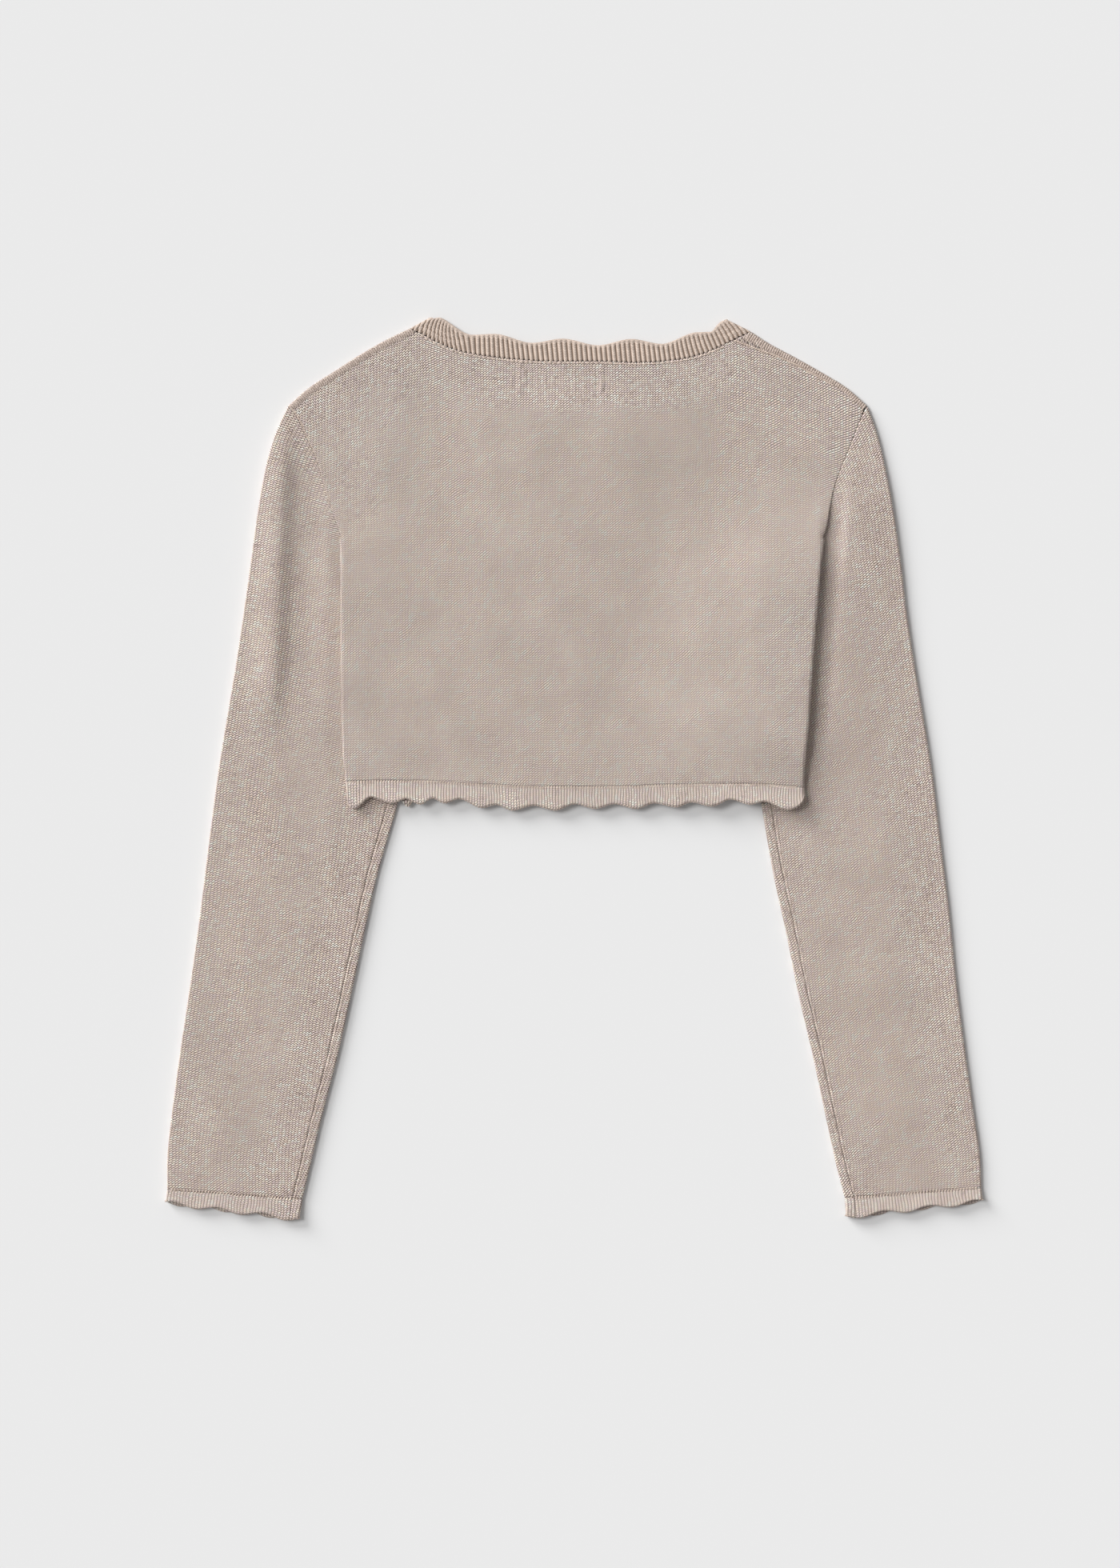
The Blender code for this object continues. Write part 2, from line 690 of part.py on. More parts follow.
def cuff_skin(side, depth):
    rows = SLEEVE[side]
    top_x = (rows["outer_x"][-1], rows["inner_x"][-1])
    top_y = (rows["outer_y"][-1], rows["inner_y"][-1])
    top = np.column_stack([top_x, top_y])
    end = np.array([CUFF_END[side]["outer"], CUFF_END[side]["inner"]])
    run = end - top
    top = top + SEAM * run / np.linalg.norm(run, axis=1)[:, None]
    down = run.mean(axis=0) / np.linalg.norm(run.mean(axis=0))
    sections = []
    for along in (0.0, 0.5, 1.0):
        ends = top + along * (end - top)
        opening = SHOULDER_TOP + CUFF_SCALLOPS["opens"] * along

        def plan(part):
            return ends[0] + part * (ends[1] - ends[0])

        section = []
        for part, place, height in tube_section(plan, lambda x, y: opening, depth):
            phase = 2 * math.pi * (place - CUFF_SCALLOPS["first_tip"]) * CUFF_SCALLOPS["count"] / 2
            hang = 0.5 * CUFF_SCALLOPS["depth"] * math.cos(phase) * along
            section.append((*(plan(part) + hang * down), height))
        sections.append(section)
    return np.array(sections)


# ---- The neckband ----

BAND_ACROSS = (0.0, 0.5, 1.0)
FRONT_NECK_STEPS = 3


def neck_corner(side):
    """The neckband's fold at a shoulder: its seam end, its tip, and their inward direction."""
    seam_end, inward = fold_line(side, [1.0])
    tip = np.array([SHOULDER_FOLD[side]["x"][-1], SHOULDER_FOLD[side]["y"][-1]])
    return seam_end[0], tip, inward[0]


def front_neck_stations(side):
    """Matching points on the seam and the free edge, from the shoulder down to the front band."""
    seam_end, tip, inward = neck_corner(side)
    rows = FRONT_NECK[side]
    seam = np.column_stack([rows["seam_x"], rows["seam_y"]])
    seam = np.vstack([seam_end + FOLD_RADIUS * inward, seam])
    edge = np.column_stack([rows["edge_x"], rows["edge_y"]])
    edge = np.vstack([tip + FOLD_RADIUS * inward, edge])
    places = np.linspace(0.0, len(seam) - 1.0, FRONT_NECK_STEPS * (len(seam) - 1) + 1)
    index = np.minimum(places.astype(int), len(seam) - 2)
    part = (places - index)[:, None]
    seam_line = seam[index] + part * (seam[index + 1] - seam[index])
    edge_line = edge[index] + part * (edge[index + 1] - edge[index])
    length = np.concatenate([[0.0], np.cumsum(np.linalg.norm(np.diff(edge_line, axis=0), axis=1))])
    phase = 2 * math.pi * length / FRONT_NECK_SCALLOP["pitch"]
    swing = 0.5 * FRONT_NECK_SCALLOP["depth"] * (np.cos(phase) - 1.0)
    width = edge_line - seam_line
    edge_line = edge_line + swing[:, None] * width / np.linalg.norm(width, axis=1)[:, None]
    return seam_line, edge_line


def back_neck_stations():
    """Matching points on the seam and the free edge across the back, a crest and a groove a rib."""
    left_end, left_tip, left_in = neck_corner("left")
    right_end, right_tip, right_in = neck_corner("right")
    seam = np.vstack(
        [
            left_end + FOLD_RADIUS * left_in,
            np.column_stack([NECK_SEAM["x"], NECK_SEAM["y"]]),
            NECK_SEAM_RIGHT_CORNER,
            right_end + FOLD_RADIUS * right_in,
        ]
    )
    start, end = left_tip + FOLD_RADIUS * left_in, right_tip + FOLD_RADIUS * right_in
    x = np.linspace(start[0], end[0], 400)
    share = (x - start[0]) / (end[0] - start[0])
    across = NECK_EDGE["x"][0] + share * (NECK_EDGE["x"][-1] - NECK_EDGE["x"][0])
    y = wave_y(across, NECK_EDGE["x"], NECK_EDGE["y"])
    sink_left = (start[1] - left_tip[1]) * (1.0 - ease(share / 0.08))
    sink_right = (end[1] - right_tip[1]) * ease((share - 0.92) / 0.08)
    edge = np.column_stack([x, y + sink_left + sink_right])
    fractions = np.linspace(0.0, 1.0, 2 * RIBS["count"] + 1)
    return straight_line(seam, fractions), straight_line(edge, fractions)


def neckband_skin(depth):
    stations = []

    def add(seam, edge, height, raised):
        station = []
        for part in BAND_ACROSS:
            station.append((*(seam + part * (edge - seam)), height + raised * (1.0 - 0.35 * part)))
        stations.append(station)

    def add_fold(side, turns):
        seam_end, tip, inward = neck_corner(side)
        for turn in turns:
            grooved = abs(math.degrees(turn)) < 1.0
            reach = FOLD_RADIUS - depth + (0.0 if grooved or depth else RIBS["height"])
            shift = (FOLD_RADIUS - reach * math.cos(turn)) * inward
            add(seam_end + shift, tip + shift, FOLD_RADIUS + reach * math.sin(turn), 0.0)

    left_seam, left_edge = front_neck_stations("left")
    for seam, edge in zip(left_seam[::-1], left_edge[::-1]):
        lift = BAND_LIFT["left"] * float(over_placket(seam[0], 13.0, 14.0))
        add(seam, edge, lift + depth, 0.0)
    add_fold("left", FOLD_TURNS[1:-1])
    for place, (seam, edge) in enumerate(zip(*back_neck_stations())):
        raised = RIBS["height"] if place % 2 and not depth else 0.0
        add(seam, edge, SHOULDER_TOP - depth, raised)
    add_fold("right", FOLD_TURNS[-2:0:-1])
    for seam, edge in zip(*front_neck_stations("right")):
        lift = BAND_LIFT["right"] * float(over_placket(seam[0], 13.0, 14.0))
        add(seam, edge, lift + depth, 0.0)
    return np.array(stations)


# ---- The hem bands, front bands and buttons ----

HEM_STEPS = 3
HEM_ACROSS = (0.0, 0.5, 1.0)


def hem_columns(side_gap):
    """Where the columns of the back hem stand between its rolled ends."""
    xs = np.append(HEM_SCALLOPS["valley_x"], HEM_END["valley_x"])
    columns = []
    for valley, tip, following in zip(xs[:-1], HEM_SCALLOPS["tip_x"], xs[1:]):
        columns += list(np.linspace(valley, tip, HEM_STEPS + 1)[:-1])
        columns += list(np.linspace(tip, following, HEM_STEPS + 1)[:-1])
    columns = np.array(columns)
    return columns[(columns > xs[0] + side_gap) & (columns < xs[-1] - side_gap)]


def hem_back_skin(depth):
    extremes_x = np.concatenate([HEM_SCALLOPS["valley_x"], HEM_SCALLOPS["tip_x"], [HEM_END["valley_x"]]])
    extremes_y = np.concatenate([HEM_SCALLOPS["valley_y"], HEM_SCALLOPS["tip_y"], [HEM_END["valley_y"]]])
    middle_x = hem_columns(4.0)
    rows = []
    for across in HEM_ACROSS:

        def edge_y(x):
            top = np.interp(x, HEM_SEAM["x"], HEM_SEAM["y"])
            return top + across * (wave_y(x, extremes_x, extremes_y) - top)

        def height(x):
            lift = np.interp(x, HEM_SCALLOPS["tip_x"], HEM_SCALLOPS["lift"])
            return back_top(x, edge_y(x)) + lift * across**2 - depth

        row = []
        for side in ("left", "right"):
            top_y = edge_y(SIDE[side]["x"][-1])
            tip_x = float(line_x(SIDE[side], top_y))
            level = float(height(tip_x)) + depth
            steps, heights = rolled(level, SIDE_FOLD_RADIUS[side], 1.0, depth, True)
            end_x = tip_x - OUTWARD[side] * steps
            row.append([(x, float(edge_y(x)), z) for x, z in zip(end_x, heights)])
        middle = [(x, float(edge_y(x)), float(height(x))) for x in middle_x]
        rows.append(row[0] + middle + row[1][::-1])
    return np.array(rows)


def hem_front_skin(side, depth):
    scallops = FRONT_HEM_SCALLOPS[side]
    main_x = np.linspace(scallops["x"][0], scallops["x"][-1], 2 * len(scallops["x"]) - 1)[1:]
    rows = []
    for across in HEM_ACROSS:

        def edge_y(x):
            top = np.interp(x, HEM_SEAM["x"], HEM_SEAM["y"]) - 0.5 * SEAM
            return top + across * (wave_y(x, scallops["x"], scallops["y"]) - top)

        tip_x = float(line_x(SIDE[side], edge_y(scallops["x"][0])))
        level = float(front_floor(side, tip_x, 0.0))
        steps, heights = rolled(level, SIDE_FOLD_RADIUS[side], 1.0, depth, False)
        end_x = tip_x - OUTWARD[side] * steps
        row = [(x, float(edge_y(x)), z) for x, z in zip(end_x, heights)]
        row += [(x, float(edge_y(x)), float(front_floor(side, x, edge_y(x))) + depth) for x in main_x]
        rows.append(row)
    return np.array(rows)


def front_band_skin(side, depth):
    xs = np.linspace(PLACKET_X - PLACKET_HALF, PLACKET_X + PLACKET_HALF, 5)
    ys = np.linspace(PLACKET_FOOT, PLACKET_TOP, 14)
    return np.array([[(x, y, BAND_LIFT[side] + depth) for x in xs] for y in ys])


def button(name, y):
    """A plain round button lying on its face, dished on that side, with a bevelled rim."""
    radius = 0.5 * BUTTON["across"]
    bevel, thick, dish = BUTTON["bevel"], BUTTON["thick"], BUTTON["dish"]
    profile = [
        (0.0, dish),
        (radius - 3 * bevel, dish),
        (radius - 2 * bevel, 0.0),
        (radius - bevel, 0.0),
        (radius, bevel),
        (radius - 0.5 * bevel, thick),
        (0.0, thick),
    ]
    sides = BUTTON["sides"]
    points = [(PLACKET_X, y, profile[0][1])]
    for reach, height in profile[1:-1]:
        for k in range(sides):
            angle = 2 * math.pi * k / sides
            points.append((PLACKET_X + reach * math.cos(angle), y + reach * math.sin(angle), height))
    points.append((PLACKET_X, y, profile[-1][1]))
    faces = []
    for k in range(sides):
        after = (k + 1) % sides
        faces.append([0, 1 + after, 1 + k])
        for ring in range(len(profile) - 3):
            low, high = 1 + ring * sides, 1 + (ring + 1) * sides
            faces.append([low + k, low + after, high + after, high + k])
        top = 1 + (len(profile) - 3) * sides
        faces.append([top + k, top + after, len(points) - 1])
    solid(name, points, faces, "B7A99A", 0.45)


for item in list(bpy.data.objects):
    bpy.data.objects.remove(item)

JERSEY = "BCADA4"
BAND = "B5A397"

cloth("back", *skins(back_skin), JERSEY)
cloth("neckband", *skins(neckband_skin), BAND)
cloth("hem_back", *skins(hem_back_skin), JERSEY)
for side in OUTWARD:
    cloth("front_" + side, *skins(lambda depth: front_skin(side, depth)), JERSEY)
    cloth("sleeve_" + side, *skins(lambda depth: sleeve_skin(side, depth)), JERSEY, closed=True)
    cloth("cuff_" + side, *skins(lambda depth: cuff_skin(side, depth)), JERSEY, closed=True)
    cloth("hem_front_" + side, *skins(lambda depth: hem_front_skin(side, depth)), JERSEY)
    cloth("band_" + side, *skins(lambda depth: front_band_skin(side, depth)), BAND)
for number, y in enumerate(np.linspace(BUTTON_Y["first"], BUTTON_Y["last"], BUTTON_Y["count"]), start=1):
    button("button_" + str(number), y)
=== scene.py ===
"""A cropped long-sleeved cardigan in fine melange jersey, laid flat with its back up.

All sizes are millimetres and become metres when a mesh is made.  X runs across the shoulders,
Y from the cuffs up to the neck, and Z up from the surface that the garment lies on.
"""

import math

import bpy
import numpy as np
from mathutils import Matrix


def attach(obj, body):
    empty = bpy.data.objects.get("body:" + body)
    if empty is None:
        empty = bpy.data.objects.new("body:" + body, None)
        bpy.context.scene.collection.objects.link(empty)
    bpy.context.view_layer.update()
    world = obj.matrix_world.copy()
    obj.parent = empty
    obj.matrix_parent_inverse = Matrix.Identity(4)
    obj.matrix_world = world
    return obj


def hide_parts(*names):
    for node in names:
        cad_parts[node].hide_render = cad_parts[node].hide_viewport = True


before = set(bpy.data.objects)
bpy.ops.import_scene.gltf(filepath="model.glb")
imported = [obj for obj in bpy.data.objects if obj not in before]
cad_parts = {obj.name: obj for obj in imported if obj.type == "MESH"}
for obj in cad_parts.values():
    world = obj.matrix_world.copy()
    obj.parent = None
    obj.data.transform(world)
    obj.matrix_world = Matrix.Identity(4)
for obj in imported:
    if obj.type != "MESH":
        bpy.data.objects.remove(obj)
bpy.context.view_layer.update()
METRE = 0.001

# ---- The view, the light and the table ----
# The cardigan lies on a pale matte studio table and is seen from straight above.  A wide
# soft lamp stands low on the left, another hangs overhead, and white walls fill the shade.

PICTURE = (1400, 1960)
VIEW_WIDTH = 700.0
VIEW_MIDDLE = (-8.75, -9.5)
CAMERA_ABOVE = 2500.0
CLOTH_LEVEL = 4.0
SENSOR = 36.0
ROOM_LIGHT = 0.31
LAMPS = {
    "side_lamp": {"energy": 2.95, "from": (-0.76, 0.65, 0.41), "spread": 30.0},
    "ceiling_lamp": {"energy": 1.26, "from": (-0.66, 0.26, 1.00), "spread": 22.0},
}
TABLE_HALF = 3000.0
TABLE_DROP = 0.2

camera = bpy.data.objects.new("camera", bpy.data.cameras.new("camera"))
camera.data.sensor_width = SENSOR
camera.data.lens = SENSOR * CAMERA_ABOVE / (VIEW_WIDTH * PICTURE[1] / PICTURE[0])
camera.location = [METRE * value for value in (*VIEW_MIDDLE, CAMERA_ABOVE + CLOTH_LEVEL)]
bpy.context.scene.collection.objects.link(camera)
bpy.context.scene.camera = camera
bpy.context.scene.view_settings.view_transform = "Standard"

world = bpy.data.worlds.new("white_room")
world.use_nodes = True
world.node_tree.nodes["Background"].inputs["Color"].default_value = (1.0, 1.0, 1.0, 1.0)
world.node_tree.nodes["Background"].inputs["Strength"].default_value = ROOM_LIGHT
bpy.context.scene.world = world

for name, made in LAMPS.items():
    lamp = bpy.data.objects.new(name, bpy.data.lights.new(name, "SUN"))
    lamp.data.energy = made["energy"]
    lamp.data.angle = math.radians(made["spread"])
    east, north, up = made["from"]
    lamp.rotation_euler = (math.atan2(math.hypot(east, north), up), 0.0, math.atan2(east, -north))
    bpy.context.scene.collection.objects.link(lamp)


def linear(hex_colour):
    """A colour written as sRGB hex, turned linear."""
    channels = [int(hex_colour[start : start + 2], 16) / 255.0 for start in (0, 2, 4)]
    curved = [c / 12.92 if c <= 0.04045 else ((c + 0.055) / 1.055) ** 2.4 for c in channels]
    return (*curved, 1.0)


def new_material(name, values):
    """A new material, its node tree and its shader, with values set on the shader's sockets."""
    made = bpy.data.materials.new(name)
    made.use_nodes = True
    shader = made.node_tree.nodes["Principled BSDF"]
    for socket, value in values.items():
        shader.inputs[socket].default_value = value
    return made, made.node_tree, shader


# Matte white board: an even pale grey with no gloss.
MATTE = {"Base Color": linear("EBEBEB"), "Roughness": 0.95, "Specular IOR Level": 0.0}
table_mesh = bpy.data.meshes.new("table")
reach, level = TABLE_HALF * METRE, -TABLE_DROP * METRE
corners = [(x * reach, y * reach, level) for x, y in ((-1, -1), (1, -1), (1, 1), (-1, 1))]
table_mesh.from_pydata(corners, [], [(0, 1, 2, 3)])
table_mesh.materials.append(new_material("matte_white_board", MATTE)[0])
table_top = bpy.data.objects.new("table", table_mesh)
bpy.context.scene.collection.objects.link(table_top)

# ---- The back ----
# One panel of fine plain jersey, knitted to its width from the hem up.  Its sides roll down
# over the sleeves at the garment's side folds, and its armholes are linked to the sleeves.


def sizes(columns, *rows):
    """A short table of sizes, kept as one array for each named column."""
    return dict(zip(columns.split(), np.array(rows, dtype=float).T))


WALL = 1.2
SEAM = 0.3
OUTWARD = {"left": -1.0, "right": 1.0}

# The fold from the shoulder tip up to the neck seam, then on to the tip of the neckband.
SHOULDER_FOLD = {
    "left": sizes(
        "x y", (-178.8, 227.0), (-166.3, 238.0), (-150.3, 248.5), (-134.3, 258.8), (-118.3, 268.0),
        (-101.8, 276.0), (-88.8, 283.0),
    ),
    "right": sizes(
        "x y", (183.3, 227.3), (169.8, 239.0), (153.8, 248.7), (137.8, 257.7), (121.8, 266.3),
        (109.8, 274.0), (94.8, 281.5),
    ),
}
NECK_SEAM_AT = {"left": -101.8, "right": 109.8}
FOLD_RADIUS = 1.7
SHOULDER_TOP = 2 * FOLD_RADIUS

# How far the front rolls over each shoulder, from the tip to the neck.
SHOULDER_ROLL = {"left": [3.5] * 8, "right": [2.6, 2.6, 2.6, 2.7, 2.9, 3.2, 4.0, 6.0]}
SHOULDER_NECK_CORNER = {"left": (-98.6, 273.2), "right": (100.9, 268.6)}
SHOULDER_TIP_GAP = 0.4

# The armhole seams, from the shoulder tip to the underarm point hidden beneath the body.
ARMHOLE = {
    "left": sizes(
        "x y", (-178.8, 226.8), (-173.3, 220.5), (-165.8, 204.5), (-160.8, 193.5), (-157.5, 182.0),
        (-153.6, 168.0), (-148.8, 155.0), (-145.0, 144.5), (-140.0, 134.0), (-132.8, 122.5),
    ),
    "right": sizes(
        "x y", (183.3, 226.8), (180.0, 220.0), (177.3, 213.5), (172.3, 200.5), (166.8, 187.0),
        (162.2, 173.5), (159.6, 161.0), (157.2, 147.5), (150.3, 134.5), (144.2, 122.5),
    ),
}

# The folded side edges of the body, down to the corners of the hem.
SIDE = {
    "left": sizes(
        "x y", (-146.3, 146.5), (-145.8, 125.0), (-145.8, 80.0), (-145.3, 30.5), (-144.3, 7.5),
        (-142.8, -7.5), (-141.8, -16.0),
    ),
    "right": sizes(
        "x y", (157.3, 146.5), (154.6, 130.0), (153.6, 120.0), (151.9, 98.5), (149.9, 75.5),
        (146.9, 30.5), (143.9, -2.0), (143.8, -15.0),
    ),
}

# The seams of the hem band and of the neckband across the back.
HEM_SEAM = sizes(
    "x y", (-141.8, -8.5), (-112.8, -7.5), (-89.8, -8.0), (-55.3, -10.0), (-21.3, -11.5),
    (20.3, -11.5), (71.8, -10.0), (117.3, -9.5), (143.8, -12.0),
)
NECK_SEAM = sizes(
    "x y", (-95.3, 272.2), (-83.5, 265.8), (-71.9, 261.4), (-56.0, 258.4), (-38.0, 256.2),
    (-16.0, 255.0), (14.0, 255.0), (43.0, 254.2), (65.0, 256.0), (80.0, 259.5), (93.3, 265.0),
)

# Where each sleeve lies flat: its outer and inner folds, and how far a section still bows
# like the armhole.
SLEEVE = {
    "left": sizes(
        "outer_x outer_y inner_x inner_y bow",
        (-178.8, 226.8, -132.8, 122.5, 1.00), (-186.3, 210.5, -126.0, 109.0, 0.85),
        (-192.3, 190.5, -119.0, 94.0, 0.70), (-197.2, 164.5, -112.0, 76.0, 0.50),
        (-202.0, 130.5, -106.5, 54.0, 0.35), (-206.8, 96.5, -104.0, 32.0, 0.20),
        (-212.3, 60.5, -104.5, 8.0, 0.10), (-221.9, 2.5, -109.8, -20.0, 0.00),
        (-228.8, -49.5, -122.5, -64.5, 0.00), (-233.8, -89.5, -130.9, -101.5, 0.00),
        (-239.3, -129.5, -139.2, -140.5, 0.00), (-245.3, -169.5, -147.8, -179.5, 0.00),
        (-250.8, -209.5, -157.6, -217.5, 0.00), (-254.2, -240.0, -164.6, -247.0, 0.00),
        (-254.5, -263.0, -169.8, -269.0, 0.00),
    ),
    "right": sizes(
        "outer_x outer_y inner_x inner_y bow",
        (183.3, 226.8, 144.2, 122.5, 1.00), (189.3, 210.5, 137.8, 109.0, 0.85),
        (194.3, 190.5, 130.0, 93.0, 0.70), (199.3, 164.5, 121.0, 75.0, 0.50),
        (204.3, 130.5, 114.3, 54.0, 0.35), (208.3, 96.5, 112.0, 32.0, 0.20),
        (213.8, 60.5, 113.0, 8.0, 0.10), (223.4, 2.5, 116.9, -20.0, 0.00),
        (229.8, -49.5, 124.4, -64.5, 0.00), (234.8, -89.5, 132.4, -101.5, 0.00),
        (238.8, -129.5, 140.2, -140.5, 0.00), (243.8, -169.5, 149.3, -179.5, 0.00),
        (249.3, -209.5, 157.4, -217.5, 0.00), (253.7, -240.0, 163.8, -247.0, 0.00),
        (254.8, -262.0, 169.3, -268.3, 0.00),
    ),
}
SLEEVE_PRESSED = 2 * WALL + 0.4
FRONT_OVER_SLEEVE = SLEEVE_PRESSED + SEAM
SIDE_FOLD_RADIUS = {"left": 1.7, "right": 4.0}
CURLED_BELOW = {"left": 118.0, "right": 130.0}
CURL_FADES = 32.0
CURL_LEAST = 0.02
LEVEL_FROM_EDGE = 1.75

# The back puffs up along its sides: full as far in as the shelf and falling over the reach,
# none at the armhole, and half at the hem.
SIDE_PUFF = {
    "left": {"height": 0.5, "shelf": 0.0, "reach": 32.0},
    "right": {"height": 6.4, "shelf": 14.0, "reach": 112.0},
}
PUFF_FADES = {"up_from": 104.0, "up_over": 86.0, "down_from": 18.0, "down_over": 32.0}
LEFT_SIDE_TOP = FRONT_OVER_SLEEVE + 2 * SIDE_FOLD_RADIUS["left"]
BACK_OVER_SLEEVE = LEFT_SIDE_TOP - SIDE_PUFF["left"]["height"] - SHOULDER_TOP
BACK_RIDE = {"level": 12.0, "reach": 80.0, "full_y": 118.0, "start_y": 172.0}
BACK_OVER_PLACKET = {"height": 2.8, "flat": 14.0, "reach": 88.0, "up_from": 212.0, "up_over": 38.0}
PLACKET_X = 2.0

# Soft marks pressed into the back: the outline of the hidden label, a pucker at its corner,
# and long shallow waves.  A negative height is a trough.
BACK_MARKS = sizes(
    "x1 y1 x2 y2 west east height",
    (-33.8, 259.0, -34.2, 229.0, 1.3, 1.8, 0.42), (17.3, 257.0, 17.9, 227.0, 1.5, 1.1, 0.40),
    (14.5, 239.5, 22.5, 231.5, 1.3, 1.1, 0.80), (20.5, 240.0, 16.5, 231.0, 0.9, 0.9, -0.45),
    (-31.0, 252.0, -30.4, 238.0, 1.6, 1.4, 0.50), (-27.0, 254.0, -27.6, 232.0, 0.9, 0.9, 0.20),
    (-22.9, 253.0, -23.2, 231.0, 0.8, 0.9, 0.14), (-18.4, 252.0, -18.1, 234.0, 0.9, 0.8, 0.18),
    (-12.6, 253.0, -12.9, 233.0, 0.8, 0.8, 0.12), (-6.5, 252.0, -6.2, 235.0, 0.9, 0.9, 0.15),
    (0.6, 253.0, 0.4, 232.0, 0.8, 0.9, 0.18), (6.3, 252.0, 6.8, 233.0, 0.9, 0.8, 0.12),
    (12.4, 253.0, 12.2, 231.0, 0.8, 0.9, 0.20), (-37.5, 250.0, -40.5, 236.0, 0.9, 1.0, 0.25),
    (-42.0, 249.0, -46.5, 238.0, 1.0, 1.1, 0.18), (-90.0, 40.0, -84.0, -14.0, 6.0, 6.0, -0.35),
    (-112.0, 60.0, -106.0, -10.0, 9.0, 9.0, 0.30), (-60.0, 130.0, -40.0, 20.0, 14.0, 14.0, 0.25),
    (60.0, 210.0, 40.0, 90.0, 16.0, 16.0, -0.30), (96.0, 180.0, 104.0, 40.0, 14.0, 14.0, -0.25),
    (118.0, 214.0, 128.0, 120.0, 12.0, 12.0, 0.25), (-128.0, 200.0, -116.0, 110.0, 12.0, 12.0, 0.25),
)


def ease(value):
    """A soft step from 0 to 1."""
    value = np.clip(value, 0.0, 1.0)
    return value * value * (3.0 - 2.0 * value)


def fade(value, start, width):
    """1 up to the start, falling softly to 0 over the width."""
    return 1.0 - ease((value - start) / width)


def unit(vectors):
    """The same directions, each with a length of 1."""
    return vectors / np.linalg.norm(vectors, axis=-1, keepdims=True)


def rows_of(table):
    """A table's rows as one array."""
    return np.column_stack(list(table.values()))


def between(values, stands, places):
    """Rows of values, each at its stand, taken at places between them."""
    return np.column_stack([np.interp(places, stands, column) for column in values.T])


def run_of(line):
    """How far along a line each of its points lies."""
    return np.concatenate([[0.0], np.cumsum(np.linalg.norm(np.diff(line, axis=0), axis=1))])


def line_x(rows, y):
    """Where a line that runs down the garment stands at height y."""
    return np.interp(y, rows["y"][::-1], rows["x"][::-1])


def smooth_values(knots, places):
    """Values of a smooth curve through the rows of knots, at fractional row numbers."""
    ends = np.vstack([2 * knots[0] - knots[1], knots, 2 * knots[-1] - knots[-2]])
    index = np.clip(places.astype(int), 0, len(knots) - 2)
    t = (places - index)[:, None]
    a, b, c, d = (ends[index + k] for k in range(4))
    bend = (2 * a - 5 * b + 4 * c - d) * t**2 + (3 * b - a - 3 * c + d) * t**3
    return 0.5 * (2 * b + (c - a) * t + bend)


def straight_line(points, fractions):
    """Points at fractions of the length of a line of straight pieces."""
    run = run_of(points)
    return between(points, run, fractions * run[-1])


def smooth_line(rows, fractions):
    """Points at fractions of the length of a smooth line through a table's x and y."""
    last = len(rows["x"]) - 1
    return straight_line(smooth_values(rows_of(rows), np.linspace(0, last, 24 * last + 1)), fractions)


def beside(line, distance):
    """The same line moved in plan, to the left of its run when the distance is positive."""
    ahead = unit(np.gradient(line, axis=0))
    return line + distance * np.column_stack([-ahead[:, 1], ahead[:, 0]])


def fold_line(side, fractions):
    """Points on a shoulder fold between the tip and the neck seam, with their inward directions."""
    dense = smooth_line(SHOULDER_FOLD[side], np.linspace(0.0, 1.0, 601))
    neck = np.abs(dense[:, 0] - NECK_SEAM_AT[side]).argmin()
    stands, steps = np.arange(len(dense)), np.asarray(fractions) * neck
    inward = OUTWARD[side] * (beside(dense, 1.0) - dense)
    return between(dense, stands, steps), between(inward, stands, steps)


def shoulder_seam(side):
    """The seam of a shoulder, a little way in from its fold on the back."""
    roll = np.array(SHOULDER_ROLL[side])
    points, inward = fold_line(side, np.linspace(0.0, 1.0, len(roll) + 1)[:-1])
    points[0] += SHOULDER_TIP_GAP * unit(points[1] - points[0])
    knots = np.vstack([points + inward * roll[:, None], SHOULDER_NECK_CORNER[side]])
    return smooth_values(knots, np.linspace(0, len(knots) - 1, 61))


def armhole_edge(side):
    """A body panel's edge along an armhole seam, from the shoulder down."""
    return beside(smooth_line(ARMHOLE[side], np.linspace(0.0, 1.0, 181)), -OUTWARD[side] * SEAM)


def hem_seam_y(x):
    """The height of the hem band's seam."""
    return np.interp(x, HEM_SEAM["x"], HEM_SEAM["y"])


def over_sleeve(side, x, y, ride):
    """How much a layer rides on the sleeve: 1 above it and for a level stretch beyond its inner
    fold, falling to 0 over the reach, and none at the shoulder."""
    inner = {"x": SLEEVE[side]["inner_x"], "y": SLEEVE[side]["inner_y"]}
    beyond = OUTWARD[side] * (line_x(inner, y) - x)
    along = fade(y, ride["full_y"], ride["start_y"] - ride["full_y"])
    return along * fade(beyond, ride["level"], ride["reach"])


def over_placket(x, flat, reach):
    """How much a layer is raised by the front bands."""
    return fade(np.abs(x - PLACKET_X), flat, reach)


MARK_ENDS = 0.25


def marks(table, x, y):
    """The height of soft ridges and troughs, each along its own line with faded ends.

    A line runs down the garment, and its slopes to the west and to the east have their widths."""
    height = 0.0
    for x1, y1, x2, y2, west, east, peak in rows_of(table):
        run = np.array([x2 - x1, y2 - y1])
        length = np.linalg.norm(run)
        along = ((x - x1) * run[0] + (y - y1) * run[1]) / length**2
        across = ((x - x1) * run[1] - (y - y1) * run[0]) / length
        ends = ease(along / MARK_ENDS) * ease((1.0 - along) / MARK_ENDS)
        height = height + peak * ends * np.exp(-((across / np.where(across > 0.0, west, east)) ** 2))
    return height


